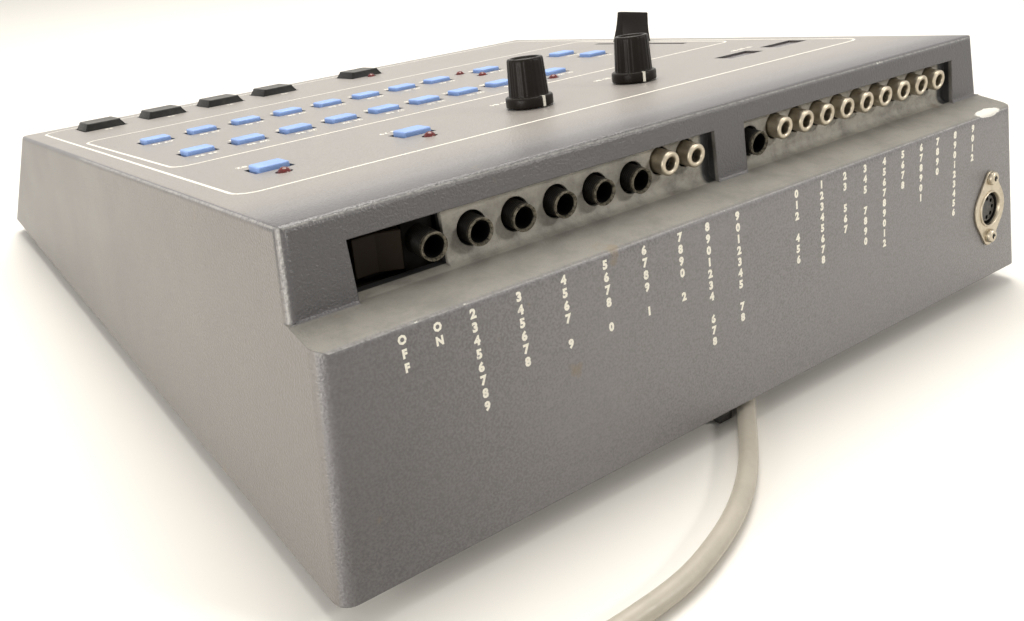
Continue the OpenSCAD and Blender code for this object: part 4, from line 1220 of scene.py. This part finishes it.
class DRUM_OT_phonos(bpy.types.Operator):
    """Eleven phono jacks: nickel shells with a rolled rim round black cores"""
    bl_idname = "drum.phonos"
    bl_label = "Phono jacks"

    def execute(self, context):
        low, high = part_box("phono_shells")
        tip, shown = high[1], high[1] - low[1]
        places = socket_places("phono", 11, tip)
        axis_z = MOUNTS["phono_1"]["pos_m"][2]
        outer = high[2] - axis_z
        inner = outer - 1.75 * MM
        shell = [(inner, -shown), (outer, -shown), *stepped(outer, 0, (0, -1.3), (0.02, -0.9))]
        for k in range(7):
            a = math.pi * k / 6
            shell.append(((outer + inner) / 2 + (outer - inner) / 2 * math.cos(a), 0.55 * MM * (math.sin(a) - 1)))
        shell += [*stepped(inner, 0, (0.05, -1.1), (0, -1.5)), (inner, -shown)]
        set_on_points("phono_rims", lathe(shell, 40), places, "phono_nickel", ["phono_shells"], 50)
        core_low, core_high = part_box("phono_cores")
        face = core_high[1] - tip
        hole = MOUNTS["phono_1"]["dims"]["r_mm"] * MM
        ends = [*stepped(hole, face, (0, -5), (0, -0.3), (0.15, 0)), *stepped(inner, face, (-0.12, 0), (-0.02, -0.3)),
                (inner - 0.02 * MM, -shown)]
        rings = [circle(*point) for point in ends]
        height, lift = core_high[2] - core_low[2], (core_high[2] + core_low[2]) / 2 - axis_z
        rings += [square(9.6 * MM, height, -shown - back, lift) for back in (0, 14 * MM)]
        set_on_points("phono_bodies", loft(rings), places, "black_plastic", ["phono_cores"])
        # a near-black liner at the bottom of each centre hole: painted shade of the hole
        depth = face - 4.8 * MM
        liner = [(0, depth), (hole - 0.04 * MM, depth), *stepped(hole, face, (-0.04, -0.4), (-0.2, -0.4)),
                 (hole - 0.2 * MM, depth + 0.2 * MM), (0, depth + 0.2 * MM)]
        set_on_points("phono_liners", lathe(liner, 24), places, "socket_dark")
        return {"FINISHED"}


class DRUM_OT_control_socket(bpy.types.Operator):
    """Round five-pole socket on its nickel flange"""
    bl_idname = "drum.control_socket"
    bl_label = "Control socket"

    def execute(self, context):
        dressed("din_flange", 0.25 * MM)
        dressed("din_insert", 0.15 * MM)
        collar = stepped(0, 0, (6.4, -0.2), (6.9, 0.2), (7.3, 1), (7.1, 1.45), (6.75, 1.5), (6.5, 1.2), (6.4, -0.2))
        place = under(REAR, MOUNTS["control_socket"]["pos_m"])
        form("socket_collar", moved(lathe(collar), place), "phono_nickel", crease=60)
        return {"FINISHED"}


class DRUM_OT_switch(bpy.types.Operator):
    """Power switch: rocker on its pins in the housing"""
    bl_idname = "drum.power_switch"
    bl_label = "Power switch"

    def execute(self, context):
        dressed("switch_housing", 0.3 * MM, slot="housing_black")
        dressed("rocker", 0.35 * MM, "rocker", "rocker_brown", 12)
        return {"FINISHED"}


class DRUM_OT_screws(bpy.types.Operator):
    """Screws with a cross recess drawn as a dark block of painted shade, and a short thread"""
    bl_idname = "drum.screws"
    bl_label = "Screws"

    def execute(self, context):
        places, flange = [], []
        for low, high in islands("screws"):
            centre = (low + high) / 2
            in_base = high.z < 30 * MM and abs(centre.x) > 140 * MM and centre.y < 170 * MM
            in_flange = centre.y > 180 * MM
            if in_base:
                places.append(placed((1, 0, 0), (0, -1, 0), (0, 0, -1), (centre.x, centre.y, low.z)))
            elif in_flange:
                flange.append(under(REAR, centre, 3 * MM))
            else:
                places.append(under(PANEL, centre) @ Matrix.Rotation(math.pi, 4, "X"))
        self.fit("screw", places, "screw_steel", ["screws"])
        self.fit("flange_screw", flange, "phono_nickel")
        return {"FINISHED"}

    def fit(self, name, places, slot, replaces=()):
        """Sets each screw's head at the CAD head's own end."""
        points = [vertex.co for vertex in frame["nodes"]["screws"].data.vertices]
        for i, place in enumerate(places):
            back = place.inverted()
            near = [back @ point for point in points]
            top = max(p.z for p in near if math.hypot(p.x, p.y) < 3 * MM)
            places[i] = place @ Matrix.Translation((0, 0, top))
        head_r, shank_r = 2.7 * MM, 1.3 * MM
        profile = stepped(0, 0, (0, -0.95), (0.5, -0.95))
        profile += [(head_r * share, z * MM) for share, z in ((0.42, -0.12), (0.8, -0.22), (0.94, -0.55), (1, -1.1),
                                                              (1, -1.95))]
        profile += [(head_r - 0.1 * MM, -2 * MM), (shank_r, -2 * MM)]
        for k in range(9):
            z = -2.6 * MM - 0.8 * MM * k
            profile += [(shank_r, z + 0.3 * MM), (shank_r * 0.78, z)]
        profile.append((0, profile[-1][1] - 0.5 * MM))
        # the cross recess is a solid dark block: painted shade where the real recess is hollow
        recess_shade = [block((-a * MM, -b * MM, -0.9 * MM), (a * MM, b * MM, -0.1 * MM))
                 for a, b in ((1.15, 0.2), (0.2, 1.15))]
        set_on_points(name + "_set", lathe(profile, 24), places, slot, replaces, 40)
        set_on_points(name + "_slots", joined(*recess_shade), places, "foot_rubber", (), 40)


class DRUM_OT_lamps(bpy.types.Operator):
    """Red lamps with rounded lenses"""
    bl_idname = "drum.lamps"
    bl_label = "Lamps"

    def execute(self, context):
        low, high = local_box("lamps", PANEL)
        r = 2.2 * MM
        profile = [(0, low.z), *stepped(r, low.z, (0.3, 0), (0.3, 1), (0, 1.1)), (r, high.z - r)]
        for k in range(1, 7):
            a = math.pi / 2 * k / 7
            profile.append((r * math.cos(a), high.z - r + r * math.sin(a)))
        profile.append((0, high.z))
        places = [under(PANEL, (box_low + box_high) / 2) for box_low, box_high in islands("lamps")]
        set_on_points("lamp_set", lathe(profile, 24), places, "lamp_red", ["lamps"], 50)
        return {"FINISHED"}


class DRUM_OT_displays(bpy.types.Operator):
    """Display filters over two-digit modules"""
    bl_idname = "drum.displays"
    bl_label = "Displays"

    def execute(self, context):
        dressed("display_windows", 0.3 * MM)
        dressed("display_digits")
        return {"FINISHED"}


class DRUM_OT_inner(bpy.types.Operator):
    """Boards, switches, pots, power parts and cables inside the case"""
    bl_idname = "drum.inner"
    bl_label = "Inner parts"

    def execute(self, context):
        for node, edge in INNER_EDGES.items():
            dressed(node, edge * MM, slot="board_brown" if node == "jack_board" else "")
        return {"FINISHED"}


class DRUM_OT_cord(bpy.types.Operator):
    """Mains cord in a coil, with its sleeve, plug and tie"""
    bl_idname = "drum.cord"
    bl_label = "Mains cord"

    def execute(self, context):
        cord = settings("drum_cord")
        line = cord_line(cord.coil_radius, cord.diameter)
        curve = bpy.data.curves.new("mains_cord", "CURVE")
        curve.dimensions = "3D"
        curve.bevel_depth = cord.diameter / 2
        curve.bevel_resolution = 4
        curve.use_fill_caps = True
        spline = curve.splines.new("POLY")
        spline.points.add(len(line) - 1)
        for point, place in zip(spline.points, line):
            point.co = (*place, 1)
        flex = piece("mains_cord", curve, "cord_vinyl", CASE, ["power_cord", "cord_coil"])
        dressed("strain_relief", 0.3 * MM)
        end = line[-1]
        plug_place = placed((0, -1, 0), (0, 0, 1), (-1, 0, 0), (end.x, end.y, end.z + 0.2 * MM))
        plug = self.plug(plug_place)
        blades = self.blades(plug_place)
        tie = self.tie(cord)
        return {"FINISHED"}

    def plug(self, place):
        rings = [rounded(w * MM, h * MM, r * MM, z * MM, 8) for z, w, h, r in PLUG_RINGS]
        return form("mains_plug", moved(loft(rings), place), "cord_vinyl", CASE, ["power_plug"], 40)

    def blades(self, place):
        forms = []
        for x in (-6.35 * MM, 6.35 * MM):
            rings = [rounded(w * MM, d * MM, r * MM, z * MM) for w, d, r, z in (
                (1.6, 6.3, 0.3, 33.5), (1.6, 6.3, 0.3, 50.2), (0.8, 5.2, 0.2, 51))]
            forms.append(moved(loft(rings), Matrix.Translation((x, -2.85 * MM, 0))))
        pin = stepped(0, 0, (0, 33.5), (2.4, 33.5), (2.4, 51), (1.9, 52.4), (0.9, 53), (0, 53))
        forms.append(moved(lathe(pin, 24), Matrix.Translation((0, 6 * MM, 0))))
        return form("plug_blades", moved(joined(*forms), place), "post_brass", crease=40)

    def tie(self, cord):
        """A band round the coil."""
        d = cord.diameter
        inner, outer = cord.coil_radius - 3.6 * d, cord.coil_radius + 0.55 * d
        middle, half = (inner + outer) / 2, (outer - inner) / 2 + 0.6 * MM
        foot, height, thick = 0.02 * MM, 12.4 * MM, 0.5 * MM
        path = [Vector(p) for p in corner_path([(-half, foot), (half, foot), (half, height), (-half, height)], 3 * MM)]
        vertices, faces = [], []
        for i, point in enumerate(path):
            along = (path[(i + 1) % len(path)] - path[i - 1]).normalized()
            back = point - Vector((along.y, -along.x)) * thick
            vertices += [(p.x, y * MM, p.y) for p, y in ((point, -1.6), (point, 1.6), (back, 1.6), (back, -1.6))]
            a, b = 4 * i, 4 * ((i + 1) % len(path))
            faces += [(a + k, a + (k + 1) % 4, b + (k + 1) % 4, b + k) for k in range(4)]
        place = (Matrix.Translation((COIL[0] * MM, COIL[1] * MM, 0)) @ Matrix.Rotation(math.radians(200), 4, "Z")
                 @ Matrix.Translation((middle, 0, 0)))
        return form("cord_tie", moved((vertices, faces), place), "foot_rubber", crease=50)


class DRUM_OT_stage(bpy.types.Operator):
    """Floor, soft lamps, backdrop and camera"""
    bl_idname = "drum.stage"
    bl_label = "Stage"

    def execute(self, context):
        stage = settings("drum_stage")
        self.floor(stage)
        for lamp in LAMPS:
            self.lamp(stage, *lamp)
        self.backdrop(stage)
        self.camera(stage)
        context.scene.view_settings.view_transform = "Standard"
        return {"FINISHED"}

    def camera(self, stage):
        camera = bpy.data.cameras.new("camera")
        camera.lens = stage.lens
        camera.sensor_width = 36
        camera.clip_start = 0.01
        eye = added("camera", camera)
        look = Vector((math.cos(stage.yaw) * math.cos(stage.pitch), math.sin(stage.yaw) * math.cos(stage.pitch),
                       math.sin(stage.pitch)))
        turn = look.to_track_quat("-Z", "Y") @ Quaternion((0, 0, 1), stage.roll)
        eye.matrix_world = Matrix.Translation(stage.eye) @ turn.to_matrix().to_4x4()
        bpy.context.scene.camera = eye

    def floor(self, stage):
        mesh = shape("floor", ([(-4, -4, 0), (4, -4, 0), (4, 4, 0), (-4, 4, 0)], [(0, 1, 2, 3)]))
        ground = added("floor", mesh)
        paper = Finish("floor_paper", stage.floor, 0.8)
        paper.bump(paper.noise(0.8 * MM, 4.0), 0.02 * MM, 0.5)
        mesh.materials.append(paper.material)

    def lamp(self, stage, name, place, target, size, share):
        light = bpy.data.lights.new(name, "AREA")
        light.shape = "DISK"
        light.size = size
        light.energy = stage.key_power * share
        light.color = stage.lamp_colour
        aim = (Vector(target) - Vector(place)).to_track_quat("-Z", "Y")
        added(name, light).matrix_world = Matrix.Translation(place) @ aim.to_matrix().to_4x4()

    def backdrop(self, stage):
        """White to the camera and in reflections; as light, dimmer from behind the object."""
        world = bpy.data.worlds.new("backdrop")
        world.use_nodes = True
        bpy.context.scene.world = world
        sky = Wiring(world.node_tree)
        light = sky.add("ShaderNodeMapRange", From_Min=0.1, From_Max=0.75, To_Min=stage.ambient,
                        To_Max=stage.ambient * stage.dim,
                        Value=sky.vector("DOT_PRODUCT", sky.add("ShaderNodeTexCoord").outputs["Generated"], DIM_SIDE))
        light.interpolation_type = "SMOOTHSTEP"
        path = sky.add("ShaderNodeLightPath").outputs
        seen = sky.most(path["Is Camera Ray"], path["Is Glossy Ray"], path["Is Transmission Ray"])
        power = sky.add("ShaderNodeMix", Factor=seen, A=light.outputs["Result"], B=1.0)
        shader = sky.tree.nodes["Background"].inputs
        sky.feed(shader["Color"], (*stage.backdrop, 1))
        sky.feed(shader["Strength"], power.outputs["Result"])


class DRUM_PT_panel(bpy.types.Panel):
    """Lists the steps that finish the drum machine"""
    bl_label = "Drum Machine"
    bl_idname = "DRUM_PT_panel"
    bl_space_type = "VIEW_3D"
    bl_region_type = "UI"
    bl_category = "Drum Machine"

    def draw(self, context):
        for step in STEPS:
            self.layout.operator(step.bl_idname)


INNER_EDGES = {    # millimetres: rounding of the inner parts' edges
    "main_board": 0, "jack_board": 0, "panel_board": 0, "board_posts": 0.3, "key_switches": 0.2, "knob_pots": 0.3,
    "slide_pot": 0.3, "transformer": 0.4, "heat_sink": 0.2, "capacitors": 0.6, "chips": 0.3, "ribbon_cables": 0,
}
DIM_SIDE = (0.0, 1.0, 0.0)               # the way to the side that the ambient light spares
LAMPS = (    # name, place, target, diameter, share of the power
    ("top_lamp", (-0.2, -0.35, 1.3), (0, 0, 0.05), 1.0, 2.0),
    ("side_lamp", (0.80, 0.24, 0.11), (0.158, 0.12, 0.03), 0.5, 0.46),
    ("rear_lamp", (-0.75, 1.2, 0.78), (-0.05, 0.18, 0.06), 0.22, 0.68),
)
PLUG_RINGS = (    # millimetres: height, width, depth, corner
    (-2, 11.6, 11.6, 5.8), (-1.6, 12.6, 12.6, 6.3), (0.4, 13, 13, 6.4), (1.2, 11.6, 11.6, 5.7),
    (2.2, 11.8, 11.6, 5.7), (3, 14.2, 13.6, 6.6), (4.2, 14.4, 13.8, 6.6), (5, 13, 12.6, 6), (6, 13.4, 13, 6),
    (6.8, 16, 15.2, 6.6), (8.2, 16.4, 15.6, 6.6), (9, 15.2, 14.6, 6), (11, 16.4, 15.6, 6), (15, 19.2, 17.6, 5.6),
    (19, 22.4, 19.6, 5), (23, 25, 21.4, 4.4), (24.5, 25.8, 22, 4.2), (33, 25.8, 22, 4.2), (33.7, 25.2, 21.4, 4),
    (34, 24.2, 20.4, 3.6),
)
POINTERS = {"knob_1": 1, "knob_2": -16}    # how far each knob's pointer is turned, in degrees
SLIDER_LEAN = -8.5                         # how crooked the slider's cap sits, in degrees
BORDERS = (    # millimetres: half width and distance of the rear side, of the front side, corner
    (139.1, 44.8, 142.8, 298.5, 7), (135.5, 114, 138.2, 233, 6),
)
PRINT = (    # node, how far up the panel from its middle, how many numbers
    [(f"{row}_key_{i}", shift, 2) for row in ("rear", "front") for i in range(1, 10) for shift in (9.6, -9.6)]
    + [(f"side_key_{i}", 9.6, 2) for i in (1, 2)]
    + [(f"transport_key_{i}", -11.6, 3) for i in (1, 2)]
    + [("knob_1", -19.5, 2), ("knob_2", -19.5, 2), ("display_windows", -11.5, 3)]
    + [(f"drum_pad_{i}", 14.5, 1) for i in range(1, 5)] + [("run_pad", 14.5, 1)]
)
PRINT_HEIGHT = 2.5     # millimetres: height of the panel's numbers
LETTER = 2.4           # millimetres: height of the rear face's signs
LETTER_BOLD = 0.085    # how much bolder they are, as a share of that
WORD_SHAPE = Matrix.Diagonal((0.84, 0.92, 1, 1))    # OFF and ON are smaller than the digits
JACK_BODY = 9.4        # millimetres: width of a jack's body behind its nose
COLUMN_TOP = 3.4       # millimetres: distance of the columns' first sign below the ledge
COLUMN_PITCH = 3.7     # millimetres: from sign to sign
REAR_COLUMNS = (       # millimetres to +X, and the signs: # is a digit
    (128.0, "OFF"), (117.9, "ON"), (107.3, "########"), (92.8, "######"), (77.8, "#### #"), (63.0, "#### #"),
    (48.3, "#### #"), (34.0, "#### #"), (22.4, "####### ###"), (9.2, "####### ##"), (-18.7, "### ###"),
    (-31.4, "########"), (-43.7, "## ###"), (-54.8, "### ####"), (-65.7, "#########"), (-76.6, "####"),
    (-87.8, "######"), (-98.1, "####"), (-109.5, "#########"), (-121.4, "####"),
)
STEPS = (
    DRUM_OT_stage, DRUM_OT_cord, DRUM_OT_case, DRUM_OT_print, DRUM_OT_keys, DRUM_OT_pads, DRUM_OT_knobs,
    DRUM_OT_slider, DRUM_OT_jacks, DRUM_OT_phonos, DRUM_OT_control_socket, DRUM_OT_switch, DRUM_OT_screws,
    DRUM_OT_lamps, DRUM_OT_displays, DRUM_OT_inner,
)


def register():
    for group in SETTINGS.values():
        bpy.utils.register_class(group)
    for name, group in SETTINGS.items():
        setattr(bpy.types.Scene, name, bpy.props.PointerProperty(type=group))
    for step in STEPS:
        bpy.utils.register_class(step)
    bpy.utils.register_class(DRUM_PT_panel)


def unregister():
    bpy.utils.unregister_class(DRUM_PT_panel)
    for step in reversed(STEPS):
        bpy.utils.unregister_class(step)
    for name in SETTINGS:
        delattr(bpy.types.Scene, name)
    for group in reversed(SETTINGS.values()):
        bpy.utils.unregister_class(group)


def main():
    register()
    for step in STEPS:
        group, name = step.bl_idname.split(".")
        getattr(getattr(bpy.ops, group), name)()


if __name__ == "__main__":
    main()
